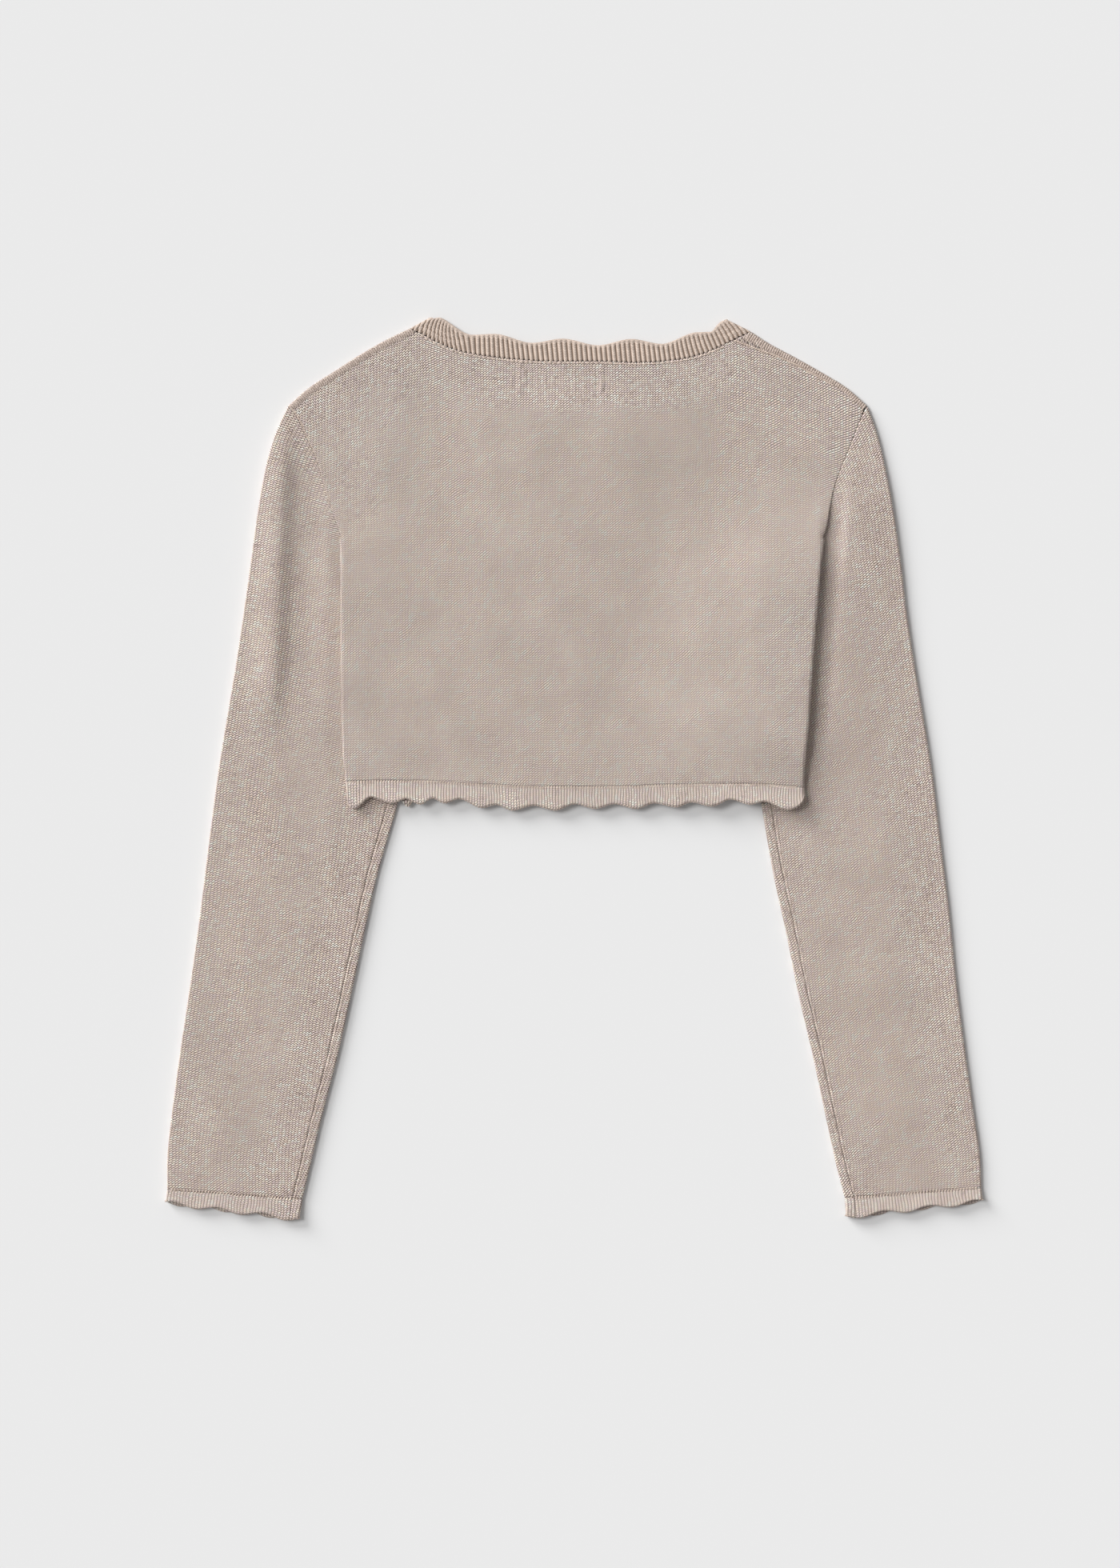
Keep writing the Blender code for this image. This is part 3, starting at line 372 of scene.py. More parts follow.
def back_top(x, y):
    """The height of the back's outer side, without its marks."""
    rise = BACK_OVER_PLACKET
    height = rise["height"] * over_placket(x, rise["flat"], rise["reach"])
    height = SHOULDER_TOP + height * fade(y, rise["up_from"], rise["up_over"])
    for side, puff in SIDE_PUFF.items():
        inward = OUTWARD[side] * (line_x(SIDE[side], y) - x)
        puffed = puff["height"] * fade(inward, puff["shelf"], puff["reach"])
        puffed = puffed * fade(y, PUFF_FADES["up_from"], PUFF_FADES["up_over"])
        puffed = puffed * (1.0 - 0.5 * ease((PUFF_FADES["down_from"] - y) / PUFF_FADES["down_over"]))
        height = height + BACK_OVER_SLEEVE * over_sleeve(side, x, y, BACK_RIDE) + puffed
    return height


def back_face(x, y):
    """The height of the back's outer side with its marks."""
    return back_top(x, y) + marks(BACK_MARKS, x, y)


ROLL_TURNS = np.linspace(1.0, 0.0, 11)
ROLL = len(ROLL_TURNS)
FOLD_SQUARENESS = 0.62


def rolled(side, level, curl, depth, outer_up):
    """A side edge as it turns towards the other panel: steps in from the edge, and heights.

    The first step is the edge itself and the last is where the cloth lies level."""
    radius = SIDE_FOLD_RADIUS[side]
    angle = curl * (math.pi / 2 - math.asin(0.5 * SEAM / radius))
    bend = radius / curl
    turn = angle * ROLL_TURNS
    square = 1.0 - (1.0 - FOLD_SQUARENESS) * curl
    out = math.sin(angle) * (np.sin(turn) / math.sin(angle)) ** square
    end = math.cos(angle)
    up = end + (1.0 - end) * np.clip((np.cos(turn) - end) / (1.0 - end), 0.0, 1.0) ** square
    drop = bend - (bend - depth) * up
    return bend * math.sin(angle) - (bend - depth) * out, level - drop if outer_up else level + drop


def piece(name, points, faces, places, material):
    """Makes a smooth mesh object, fixes it to the garment and turns its faces outward."""
    points = points * METRE
    mesh = bpy.data.meshes.new(name)
    mesh.from_pydata(points.tolist(), [], faces)
    mesh.update()
    corner = np.empty(len(mesh.loops), dtype=np.int32)
    mesh.loops.foreach_get("vertex_index", corner)
    layer = mesh.uv_layers.new(name="knit")
    layer.data.foreach_set("uv", places[corner].astype(np.float32).ravel())
    mesh.polygons.foreach_set("use_smooth", np.ones(len(mesh.polygons), dtype=bool))
    mesh.calc_loop_triangles()
    triangles = np.empty(3 * len(mesh.loop_triangles), dtype=np.int32)
    mesh.loop_triangles.foreach_get("vertices", triangles)
    a, b, c = (points[triangles[k::3]] for k in range(3))
    if np.einsum("ij,ij->i", a, np.cross(b, c)).sum() < 0.0:
        mesh.flip_normals()
    mesh.materials.append(material)
    thing = bpy.data.objects.new(name, mesh)
    bpy.context.scene.collection.objects.link(thing)
    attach(thing, "root")
    return thing


RIM_BULGE = 0.3


def shell(name, skin, material):
    """A wall of cloth between two skins of matching rows, with a rounded rim all round.

    The skin function gives the points at a depth in the cloth, and with each its place across
    and along the knitting in millimetres."""
    outer, knit = np.split(skin(0.0), [3], axis=2)
    inner = skin(WALL)[..., :3]
    rows, columns = outer.shape[:2]
    count = rows * columns
    number = np.arange(count).reshape(rows, columns)
    cells = np.stack([number[:-1, :-1], number[:-1, 1:], number[1:, 1:], number[1:, :-1]], axis=2)
    cells = cells.reshape(-1, 4)
    faces = np.stack([cells, count + cells[:, ::-1]], axis=1).reshape(-1, 4).tolist()
    border = [(0, column) for column in range(columns - 1)]
    border += [(row, columns - 1) for row in range(rows - 1)]
    border += [(rows - 1, column) for column in range(columns - 1, 0, -1)]
    border += [(row, 0) for row in range(rows - 1, 0, -1)]
    row, column = np.array(border).T
    edge = outer[row, column]
    away = edge - outer[np.clip(row, 1, rows - 2), np.clip(column, 1, columns - 2)]
    away /= np.maximum(np.linalg.norm(away, axis=1), 1e-6)[:, None]
    middle = 0.5 * (edge + inner[row, column]) + RIM_BULGE * away
    first, rim = number[row, column], 2 * count + np.arange(len(border))
    second, after = np.roll(first, -1), np.roll(rim, -1)
    bands = [[first, rim, after, second], [count + second, after, rim, count + first]]
    faces += np.array(bands).transpose(2, 0, 1).reshape(-1, 4).tolist()
    points = np.concatenate([outer.reshape(-1, 3), inner.reshape(-1, 3), middle])
    places = np.concatenate([knit.reshape(-1, 2)] * 2 + [knit[row, column]])
    return piece(name, points, faces, places, material)


def add(tree, kind, inputs=(), **settings):
    """Adds a node with its settings.  Its inputs, in order or by name, are values or links."""
    node = tree.nodes.new("ShaderNode" + kind)
    for key, value in settings.items():
        setattr(node, key, value)
    for socket, value in inputs.items() if isinstance(inputs, dict) else enumerate(inputs):
        if isinstance(value, bpy.types.Node):
            value = value.outputs[0]
        if isinstance(value, bpy.types.NodeSocket):
            tree.links.new(value, node.inputs[socket])
        else:
            node.inputs[socket].default_value = value
    return node


YARNS = ("D3C2BC", "F9E5D5", "EDDBD9", "FFEFDD", "FFFBF2")
# The gap colour is painted shade, mixed in where the loops leave gaps between rows and wales.
YARN_GAP_PAINTED_SHADE = "43342C"
YARN_SPREAD = (0.38, 0.58)
LEAN_SHARE = 0.65
LEG_RISE = 0.74
# How light the leg turned away from the lamp is: painted shade.
FAR_LEG_PAINTED_SHADE = 0.74
# Where the painted shade between the rows and between the wales begins and ends, in parts of a loop.
ROW_GAP = (0.05, 0.33)
WALE_GAP = (0.0, 0.35)
MELANGE = {"along": 0.22, "row": 3.37, "chance": 0.42}


def fine_jersey(name, wale, course, gap=YARN_GAP_PAINTED_SHADE, between_wales=0.60, between_rows=0.0):
    """Plain jersey in a fine melange yarn of viscose and cotton, knitted and steamed.

    Small loops stand in columns, with dark gaps between the rows: the gap colour is painted
    shade, mixed in between the rows and between the wales.  The two legs of a loop make a V,
    and the leg turned away from the lamp gets painted shade, so the leg that faces the lamp
    looks longer than the other.  Each row is one length of spun yarn, so its colour drifts
    along the row.  Wale and course are the real widths of a loop and of a row in millimetres,
    and the last two say how light the painted shade between the wales and between the rows is."""
    values = {"Roughness": 0.85, "Specular IOR Level": 0.2, "Sheen Weight": 0.15}
    cloth, tree, shader = new_material(name, {**values, "Sheen Roughness": 0.5})
    soft = {"interpolation_type": "SMOOTHSTEP"}
    flat = {"noise_dimensions": "2D"}
    place = add(tree, "UVMap", uv_map="knit")
    drift = add(tree, "TexNoise", {"Vector": place, "Scale": 0.09, "Detail": 1.0}, **flat)
    drifted = [drift.outputs["Color"], (1.6, 1.6, 0.0), place]
    split = add(tree, "SeparateXYZ", [add(tree, "VectorMath", drifted, operation="MULTIPLY_ADD")])
    wales = add(tree, "Math", [split.outputs["X"], wale], operation="DIVIDE")
    rows = add(tree, "Math", [split.outputs["Y"], course], operation="DIVIDE")
    part = add(tree, "Math", [wales], operation="FRACT")
    rest = add(tree, "Math", [1.0, part], operation="SUBTRACT")
    near_leg = add(tree, "Math", [part, LEAN_SHARE], operation="DIVIDE")
    far_leg = add(tree, "Math", [rest, 1.0 - LEAN_SHARE], operation="DIVIDE")
    leg = add(tree, "Math", [near_leg, far_leg], operation="MINIMUM")
    slant = add(tree, "Math", [leg, -LEG_RISE, rows], operation="MULTIPLY_ADD")
    along = add(tree, "Math", [slant, 0.5], operation="PINGPONG")
    loop = add(tree, "MapRange", [along, *ROW_GAP, between_rows, 1.0], **soft)
    on_leg = add(tree, "MapRange", [leg, *WALE_GAP, between_wales, 1.0], **soft)
    # Painted shade on the leg of each loop that is turned away from the lamp.
    turned_away = [part, LEAN_SHARE - 0.06, LEAN_SHARE + 0.14, 1.0, FAR_LEG_PAINTED_SHADE]
    far_leg_painted_shade = add(tree, "MapRange", turned_away, **soft)
    facing = add(tree, "Math", [on_leg, far_leg_painted_shade], operation="MULTIPLY")
    lit = add(tree, "Math", [loop, facing], operation="MULTIPLY")
    column = add(tree, "Math", [wales], operation="FLOOR")
    row = add(tree, "Math", [slant], operation="FLOOR")
    chance = add(tree, "TexWhiteNoise", {"Vector": add(tree, "CombineXYZ", [column, row])}, **flat)
    yarn_along = add(tree, "Math", [split.outputs["X"], MELANGE["along"]], operation="MULTIPLY")
    yarn_row = add(tree, "Math", [row, MELANGE["row"]], operation="MULTIPLY")
    fibres = {"Vector": add(tree, "CombineXYZ", [yarn_along, yarn_row]), "Scale": 1.0, "Detail": 3.0}
    melange = add(tree, "TexNoise", {**fibres, "Roughness": 0.7}, **flat)
    spun = add(tree, "Math", [chance, MELANGE["chance"], melange], operation="MULTIPLY_ADD")
    yarn = add(tree, "ValToRGB", [spun])
    stops = yarn.color_ramp.elements
    stops[0].position, stops[1].position = YARN_SPREAD[0], sum(YARN_SPREAD)
    for number in range(1, len(YARNS) - 1):
        stops.new(YARN_SPREAD[0] + YARN_SPREAD[1] * number / (len(YARNS) - 1))
    for stop, colour in zip(stops, YARNS):
        stop.color = linear(colour)
    clouds = add(tree, "TexNoise", {"Vector": place, "Scale": 0.035, "Detail": 3.0}, **flat)
    evenness = add(tree, "MapRange", [clouds, 0.25, 0.75, 0.95, 1.05])
    shaded = add(tree, "VectorMath", {0: yarn, "Scale": evenness}, operation="SCALE")
    # Painted shade: the gap colour is mixed in where the loops leave gaps.
    coloured = add(tree, "Mix", {"Factor": lit, "A": linear(gap), "B": shaded}, data_type="RGBA")
    raised = add(tree, "Bump", {"Height": loop, "Strength": 0.4, "Distance": 0.30 * METRE})
    tree.links.new(coloured.outputs["Result"], shader.inputs["Base Color"])
    tree.links.new(raised.outputs[0], shader.inputs["Normal"])
    return cloth


def row_of(*columns):
    """A row of points from its columns.  A single value holds for the whole row."""
    return np.column_stack(np.broadcast_arrays(*columns))


back_jersey = fine_jersey("fine_melange_jersey_back", 1.80, 1.43)

BACK_ROWS = 150
BACK_COLUMNS = 220
FINE_COLUMNS = {"from": -40.0, "to": 26.0, "times": 3.0}
BACK_SIDE_SHARE = 8.0 / 15.0
BACK_ARMHOLE_SHARE = 7.0 / 9.0
STRAIGHT_AT_TIP = 12
COURSE_LEVEL = 0.55
HEM_SHARE = 0.2
CURVED_FROM = 0.38


def back_edge(side, shares):
    """The plan of one side of the back at shares of its height: its fold, then its armhole."""
    foot = hem_seam_y(SIDE[side]["x"][-1]) + SEAM
    armhole = armhole_edge(side)
    tip, below = beside(shoulder_seam(side), OUTWARD[side] * SEAM)[0], armhole[STRAIGHT_AT_TIP]
    armhole[: STRAIGHT_AT_TIP + 1] = np.linspace(tip, below, STRAIGHT_AT_TIP + 1)
    down = np.minimum((1.0 - shares) / (1.0 - BACK_SIDE_SHARE), 1.0) * BACK_ARMHOLE_SHARE
    curve = between(armhole, np.linspace(0.0, 1.0, len(armhole)), down)
    y = foot + (curve[0, 1] - foot) * shares / BACK_SIDE_SHARE
    fold = np.column_stack([line_x(SIDE[side], y), y])
    return np.where((shares < BACK_SIDE_SHARE)[:, None], fold, curve)


def back_skin(depth):
    """The points of the back, each with its place in the knitting."""
    shares = np.linspace(0.0, 1.0, BACK_ROWS + 1)
    shoulders = {side: beside(shoulder_seam(side), OUTWARD[side] * SEAM) for side in OUTWARD}
    neck = beside(smooth_line(NECK_SEAM, np.linspace(0.0, 1.0, 120)), -SEAM)
    top = np.vstack([shoulders["left"], neck, shoulders["right"][::-1]])
    top_share = (top[:, 0] - top[0, 0]) / (top[-1, 0] - top[0, 0])
    top_rise = top[:, 1] - (top[0, 1] + top_share * (top[-1, 1] - top[0, 1]))
    rows = []
    for share, start, end in zip(shares, back_edge("left", shares), back_edge("right", shares)):
        length = np.linalg.norm(end - start)
        ends = {}
        for side, tip in (("left", start), ("right", end)):
            curl = max(fade(tip[1], CURLED_BELOW[side], CURL_FADES), CURL_LEAST)
            ends[side] = rolled(side, back_face(*tip), curl, depth, True)
        first, last = (LEVEL_FROM_EDGE * SIDE_FOLD_RADIUS[side] for side in OUTWARD)
        even = np.linspace(first, length - last, 400)
        fine = (start[0] + even > FINE_COLUMNS["from"]) & (start[0] + even < FINE_COLUMNS["to"])
        crowd = np.cumsum(np.where(fine, FINE_COLUMNS["times"], 1.0))
        inside = np.interp(np.linspace(crowd[0], crowd[-1], BACK_COLUMNS + 1), crowd, even)
        across = np.concatenate([ends["left"][0], inside, length - ends["right"][0][::-1]])
        part = across / length
        x, y = (start + part[:, None] * (end - start)).T
        hem_x, hem_level = between(rows_of(HEM_SEAM)[[0, -1]], (0.0, 1.0), part).T
        lower = max(0.0, 1.0 - share / HEM_SHARE) * (hem_seam_y(hem_x) - hem_level)
        upper = ease((share - CURVED_FROM) / (1.0 - CURVED_FROM))
        y = y + upper * np.interp(part, top_share, top_rise) + lower
        z = back_face(x, y) - depth
        z[:ROLL], z[-ROLL:] = ends["left"][1], ends["right"][1][::-1]
        rows.append(row_of(x, y, z, x, y + COURSE_LEVEL * (y[len(y) // 2] - y)))
    return np.array(rows)


BEAD = sizes("along out", (-0.5, 0.0), (-0.34, 0.36), (0.0, 0.5), (0.34, 0.36), (0.5, 0.0))
BEAD_SIDES = 6


def spun_yarn(name, colour, dark):
    """Soft spun yarn of the same melange, two plies twisted: pale, with a faint dark twist."""
    values = {"Roughness": 0.9, "Specular IOR Level": 0.2, "Sheen Weight": 0.15}
    yarn, tree, shader = new_material(name, values)
    where = add(tree, "TexCoord").outputs["Object"]
    fibres = add(tree, "TexNoise", {"Vector": where, "Scale": 900.0, "Detail": 2.0})
    tone = add(tree, "MapRange", [fibres, 0.3, 0.7])
    mixed = {"Factor": tone, "A": linear(dark), "B": linear(colour)}
    coloured = add(tree, "Mix", mixed, data_type="RGBA")
    tree.links.new(coloured.outputs["Result"], shader.inputs["Base Color"])
    return yarn


def round_shape(stands, radii, sides):
    """A round shape along an axis, closed at both tips: its points, the axis first, and faces."""
    turns = 2 * math.pi * np.arange(sides) / sides
    circle = np.column_stack([np.cos(turns), np.sin(turns)])
    rings = [row_of(stand, *(radius * circle).T) for stand, radius in zip(stands, radii)]
    points = np.vstack([rings[0][:1], *rings[1:-1], rings[-1][:1]])
    faces, last = [], len(points) - 1
    for k in range(sides):
        after = (k + 1) % sides
        faces.append([0, 1 + after, 1 + k])
        for low in range(1, last - sides, sides):
            faces.append([low + k, low + after, low + sides + after, low + sides + k])
        faces.append([last - sides + k, last - sides + after, last])
    return points, faces


def stitches(name, spots, ways, size, material):
    """A row of short loops of yarn, each a small round bead.

    Each has its middle, the direction of its length in plan, and its length, width and height."""
    ways = unit(ways)
    shape, bead = round_shape(BEAD["along"], BEAD["out"], BEAD_SIDES)
    local = shape * np.broadcast_to(size, (len(spots), 3))[:, None]
    x = local[..., 0] * ways[:, :1] - local[..., 1] * ways[:, 1:]
    y = local[..., 0] * ways[:, 1:] + local[..., 1] * ways[:, :1]
    points = (spots[:, None] + np.stack([x, y, local[..., 2]], axis=2)).reshape(-1, 3)
    starts = len(shape) * np.arange(len(spots))
    faces = [[corner + start for corner in face] for start in starts.tolist() for face in bead]
    return piece(name, points, faces, points[:, :2], material)


def stations(line, pitch):
    """Evenly spaced points along a line, and the direction of the line at each."""
    count = max(2, int(round(run_of(line[:, :2])[-1] / pitch)))
    spots = straight_line(line, (np.arange(count) + 0.5) / count)
    ahead = straight_line(line, np.minimum(1.0, (np.arange(count) + 0.6) / count)) - spots
    return spots, unit(ahead[:, :2])


def turned(ways, degrees):
    """Directions turned anticlockwise."""
    cosine, sine = math.cos(math.radians(degrees)), math.sin(math.radians(degrees))
    return ways @ np.array([[cosine, sine], [-sine, cosine]])


def seam_row(name, line, yarn, pitch, size, lean=0.0, shift=(0.0, 0.0, 0.0)):
    """A row of stitches at a pitch along a line, each leaning away from it by some degrees."""
    spots, along = stations(line, pitch)
    return stitches(name, spots + shift, turned(along, lean), size, yarn)


def on_back(line, raised):
    """Points of a line in plan, laid on the back's outer side."""
    return np.column_stack([line, back_face(*line.T) + raised])


seam_yarn = spun_yarn("spun_melange_seam_yarn", "E9D7C9", "B39F91")
shade_yarn = spun_yarn("spun_melange_edge_yarn", "D6C5BA", "A39185")
back = shell("back_panel", back_skin, back_jersey)
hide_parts("back")

# The chain that closes the linking of the neckband, one stitch to a rib.
NECK_CHAIN = {"in": 1.3, "pitch": 2.95, "raised": 0.10, "lean": -14.0, "size": (2.7, 0.95, 0.7)}
neck_line = smooth_line(NECK_SEAM, np.linspace(0.0, 1.0, 200))
line, along = stations(beside(neck_line, -NECK_CHAIN["in"]), NECK_CHAIN["pitch"])
laid, ways = on_back(line, NECK_CHAIN["raised"]), turned(along, NECK_CHAIN["lean"])
stitches("neck_linking_chain", laid, ways, NECK_CHAIN["size"], seam_yarn)

# The ridge of the right shoulder seam, which sinks away towards the tip.
RIDGE = {"in": 1.0, "pitch": 1.5, "raised": (0.25, -0.25), "lean": 24.0, "size": (2.3, 1.2, 1.1)}
ridge = shoulder_seam("right")[::-1][:44]
line, along = stations(beside(ridge, -RIDGE["in"]), RIDGE["pitch"])
laid, ways = on_back(line, np.linspace(*RIDGE["raised"], len(line))), turned(along, RIDGE["lean"])
stitches("shoulder_ridge_right", laid, ways, RIDGE["size"], seam_yarn)

# ---- The fronts ----
# Two panels of the same jersey, which lie under the back.  They roll up over the shoulders,
# where a narrow strip of each shows beside the shoulder seam, and meet at the front bands.

BUTTON_THICK = 1.6
BAND_LIFT = {"right": BUTTON_THICK + SEAM, "left": BUTTON_THICK + WALL + 2 * SEAM}
BAND_RAISES = {"flat": 13.0, "reach": 14.0}
FRONT_RIDE = {"level": 15.0, "reach": 16.0, "full_y": 123.0, "start_y": 150.0}

# The front neckline, from the fold at the shoulder down to the front band.
FRONT_NECK = {
    "left": sizes(
        "seam_x seam_y edge_x edge_y",
        (-99.6, 262.0, -86.6, 268.0), (-94.6, 246.5, -82.0, 254.0), (-86.2, 232.0, -74.4, 241.0),
        (-74.4, 219.0, -64.0, 228.6), (-59.6, 208.4, -51.2, 219.0), (-42.4, 200.4, -36.8, 212.4),
        (-25.4, 195.6, -22.6, 208.4), (-9.3, 193.6, -9.3, 206.8),
    ),
    "right": sizes(
        "seam_x seam_y edge_x edge_y",
        (107.4, 260.5, 92.6, 266.0), (102.0, 245.5, 88.2, 252.6), (93.6, 231.4, 80.8, 240.2),
        (81.6, 218.6, 70.2, 228.2), (66.4, 208.2, 57.0, 218.8), (48.8, 200.4, 42.4, 212.4),
        (31.2, 195.6, 27.8, 208.4), (13.3, 193.6, 13.3, 206.8),
    ),
}
FRONT_ROWS = 110
FRONT_COLUMNS = 56
FRONT_KNITTED = 262.0
FRONT_SIDE_TOP = 104.0
FRONT_SIDE_SHARE = 6.0 / 15.0
FRONT_UNDERARM_SHARE = 1.0 / 15.0
FRONT_ARMHOLE_SHARE = 9.0 / 15.0
FRONT_NECK_SHARE = 8.0 / 15.0
FRONT_CURL_SHARE = FRONT_SIDE_SHARE + 0.03
FOLD_TURNS = np.radians(np.linspace(-90.0, 90.0, 13))
FRONT_MARKS = {
    "left": sizes(
        "x1 y1 x2 y2 west east height",
        (-120.0, 200.0, -70.0, 120.0, 10.0, 14.0, 0.30), (-60.0, 150.0, -40.0, 40.0, 12.0, 12.0, 0.35),
        (-96.0, 60.0, -84.0, 0.0, 9.0, 7.0, 0.30),
    ),
    "right": sizes(
        "x1 y1 x2 y2 west east height",
        (128.0, 200.0, 78.0, 124.0, 11.0, 9.0, 0.30), (58.0, 160.0, 44.0, 60.0, 13.0, 10.0, 0.30),
        (100.0, 50.0, 92.0, 0.0, 8.0, 8.0, 0.35),
    ),
}
MARKS_CLEAR = {"height": 2.0, "edge": 20.0}


def band_floor(side, x):
    """How high the front bands lift the outer side of a front."""
    return BAND_LIFT[side] * over_placket(x, BAND_RAISES["flat"], BAND_RAISES["reach"])


def front_floor(side, x, y):
    """The height of the front's outer side, which faces the table."""
    return FRONT_OVER_SLEEVE * over_sleeve(side, x, y, FRONT_RIDE) + band_floor(side, x)


def front_edges(side, shares):
    """The plan of a front at shares of its height: its side and armhole, its band and neckline."""
    foot = hem_seam_y(SIDE[side]["x"][-1]) + SEAM
    side_y = foot + (FRONT_SIDE_TOP - foot) * np.clip(shares / FRONT_SIDE_SHARE, 0.0, 1.0)
    straight = np.column_stack([line_x(SIDE[side], side_y), side_y])
    armhole = armhole_edge(side)
    corner = np.array([line_x(SIDE[side], FRONT_SIDE_TOP), FRONT_SIDE_TOP])
    past = shares - FRONT_SIDE_SHARE
    cut = corner + np.clip(past / FRONT_UNDERARM_SHARE, 0.0, 1.0)[:, None] * (armhole[-1] - corner)
    up = np.clip((past - FRONT_UNDERARM_SHARE) / FRONT_ARMHOLE_SHARE, 0.0, 1.0)
    curve = between(armhole[::-1], np.linspace(0.0, 1.0, len(armhole)), up)
    curve = np.where((past < FRONT_UNDERARM_SHARE)[:, None], cut, curve)
    outer = np.where((past < 0.0)[:, None], straight, curve)
    neck = rows_of(FRONT_NECK[side])[::-1, :2]
    neck = beside(smooth_values(neck, np.linspace(0, len(neck) - 1, 100)), -OUTWARD[side] * SEAM)
    foot = hem_seam_y(neck[0, 0]) + SEAM
    up = np.clip(shares / FRONT_NECK_SHARE, 0.0, 1.0)
    band = row_of(neck[0, 0] + OUTWARD[side] * SEAM, foot + (neck[0, 1] - foot) * up)
    along = np.maximum((shares - FRONT_NECK_SHARE) / (1.0 - FRONT_NECK_SHARE), 0.0)
    line = straight_line(neck, along)
    return outer, np.where((shares < FRONT_NECK_SHARE)[:, None], band, line)


def front_skin(side, depth):
    """The points of a front, up to its strip on the back, each with its place in the knitting."""
    shares = np.linspace(0.0, 1.0, FRONT_ROWS + 1)
    rows = []
    for share, start, end in zip(shares, *front_edges(side, shares)):
        length = np.linalg.norm(end - start)
        curl = 1.0 if share < FRONT_CURL_SHARE else CURL_LEAST
        steps, heights = rolled(side, front_floor(side, *start), curl, depth, False)
        inside = np.linspace(LEVEL_FROM_EDGE * SIDE_FOLD_RADIUS[side], length, FRONT_COLUMNS + 1)
        across = np.concatenate([steps, inside])
        part = across / length
        x, y = (start + part[:, None] * (end - start)).T
        hem_rise = hem_seam_y(x)
        hem_rise -= hem_rise[0] + part * (hem_rise[-1] - hem_rise[0])
        y = y + max(0.0, 1.0 - share / HEM_SHARE) * hem_rise
        z = front_floor(side, x, y) + depth
        inwards = ease(across / MARKS_CLEAR["edge"]) * ease((length - across) / MARKS_CLEAR["edge"])
        lifted = ease(1.0 - z / MARKS_CLEAR["height"]) * inwards
        z = z + np.maximum(marks(FRONT_MARKS[side], x, y), 0.0) * lifted
        z[:ROLL] = heights
        rows.append(row_of(x, y, z, x, FRONT_KNITTED * share))
    fractions = (np.linspace(0.0, 0.04, ROLL), np.linspace(0.05, 1.0, FRONT_COLUMNS + 1))
    fractions = np.concatenate(fractions)
    line, inward = fold_line(side, fractions)
    line[[0, -1]] += SEAM * unit(line[-1] - line[0]) * [[1.0], [-1.0]]
    knitted = FRONT_KNITTED + np.linalg.norm(line - rows[-1][:, :2], axis=1)
    for turn in FOLD_TURNS:
        x, y = (line + (FOLD_RADIUS - (FOLD_RADIUS - depth) * math.cos(turn)) * inward).T
        height = FOLD_RADIUS + (FOLD_RADIUS - depth) * math.sin(turn)
        rows.append(row_of(x, y, height, line[:, 0], knitted + FOLD_RADIUS * (turn + 0.5 * math.pi)))
    strip = straight_line(shoulder_seam(side), fractions)
    knitted = knitted + np.linalg.norm(strip - line, axis=1)
    rows.append(row_of(*strip.T, SHOULDER_TOP - depth, strip[:, 0], knitted))
    return np.array(rows)


front_jersey = fine_jersey("fine_melange_jersey_front", 1.80, 1.43)
for side in OUTWARD:
    front = shell("front_panel_" + side, lambda depth: front_skin(side, depth), front_jersey)
    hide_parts("front_" + side)

# The wales of the strips that roll over the shoulders, square to the fold.
STRIP_WALES = {"left": 66, "right": 58}
STRIP_FROM = 0.8
STRIP_LOOP = {"longer": 2.2, "inwards": 0.4, "width": 1.45, "height": 0.45}
for side, count in STRIP_WALES.items():
    shares = (np.arange(count) + 0.5) / count
    fold, inward = fold_line(side, shares)
    knots = np.linspace(0.0, 1.0, len(SHOULDER_ROLL[side]))
    roll = np.interp(shares, knots, SHOULDER_ROLL[side])[:, None]
    middle = fold + (0.5 * (STRIP_FROM + roll) + STRIP_LOOP["inwards"]) * inward
    length = np.linalg.norm((roll - STRIP_FROM) * inward, axis=1) + STRIP_LOOP["longer"]
    size = row_of(length, STRIP_LOOP["width"], STRIP_LOOP["height"])
    stitches("shoulder_strip_" + side, row_of(*middle.T, SHOULDER_TOP), inward, size, shade_yarn)

# ---- The sleeves ----
# Each sleeve is one piece of jersey, closed by a seam under the arm, and it lies flat with
# that seam just inside its inner fold.  Its head is linked into the armhole.

SLEEVE_LOFT = SHOULDER_TOP - SLEEVE_PRESSED
UNDERARM_SEAM_IN = 6.0
SLEEVE_SECTIONS = 130
SLEEVE_COLUMNS = {"top": 60, "floor": 44, "strip": 4}
HEIGHT_TAKEN_IN = 2.0
TUBE_TURNS = np.radians(np.linspace(90.0, -90.0, 13))
FOLD_SMOOTHED = 181

# Soft ridges and troughs along the sleeves.
SLEEVE_MARKS = {
    "left": sizes(
        "x1 y1 x2 y2 west east height",
        (-181.5, 228.0, -190.0, 8.0, 13.0, 7.0, 3.3), (-163.0, 212.0, -168.0, 20.0, 9.0, 10.0, -0.8),
        (-150.0, 196.0, -150.0, 110.0, 6.0, 6.0, 0.5), (-190.0, -40.0, -206.0, -150.0, 18.0, 18.0, 0.5),
        (-216.0, -30.0, -226.0, -140.0, 14.0, 14.0, -0.3),
        (-168.0, -120.0, -190.0, -230.0, 16.0, 16.0, 0.35),
        (-222.0, -170.0, -226.0, -262.0, 12.0, 12.0, 0.3),
    ),
    "right": sizes(
        "x1 y1 x2 y2 west east height",
        (176.0, 206.0, 161.0, -14.0, 6.0, 30.0, 2.0), (192.0, 40.0, 200.0, -60.0, 14.0, 14.0, 0.35),
        (176.0, -20.0, 196.0, -160.0, 16.0, 16.0, 0.5),
        (214.0, -60.0, 226.0, -180.0, 14.0, 14.0, -0.3),
        (196.0, -150.0, 206.0, -250.0, 13.0, 13.0, 0.35),
    ),
}

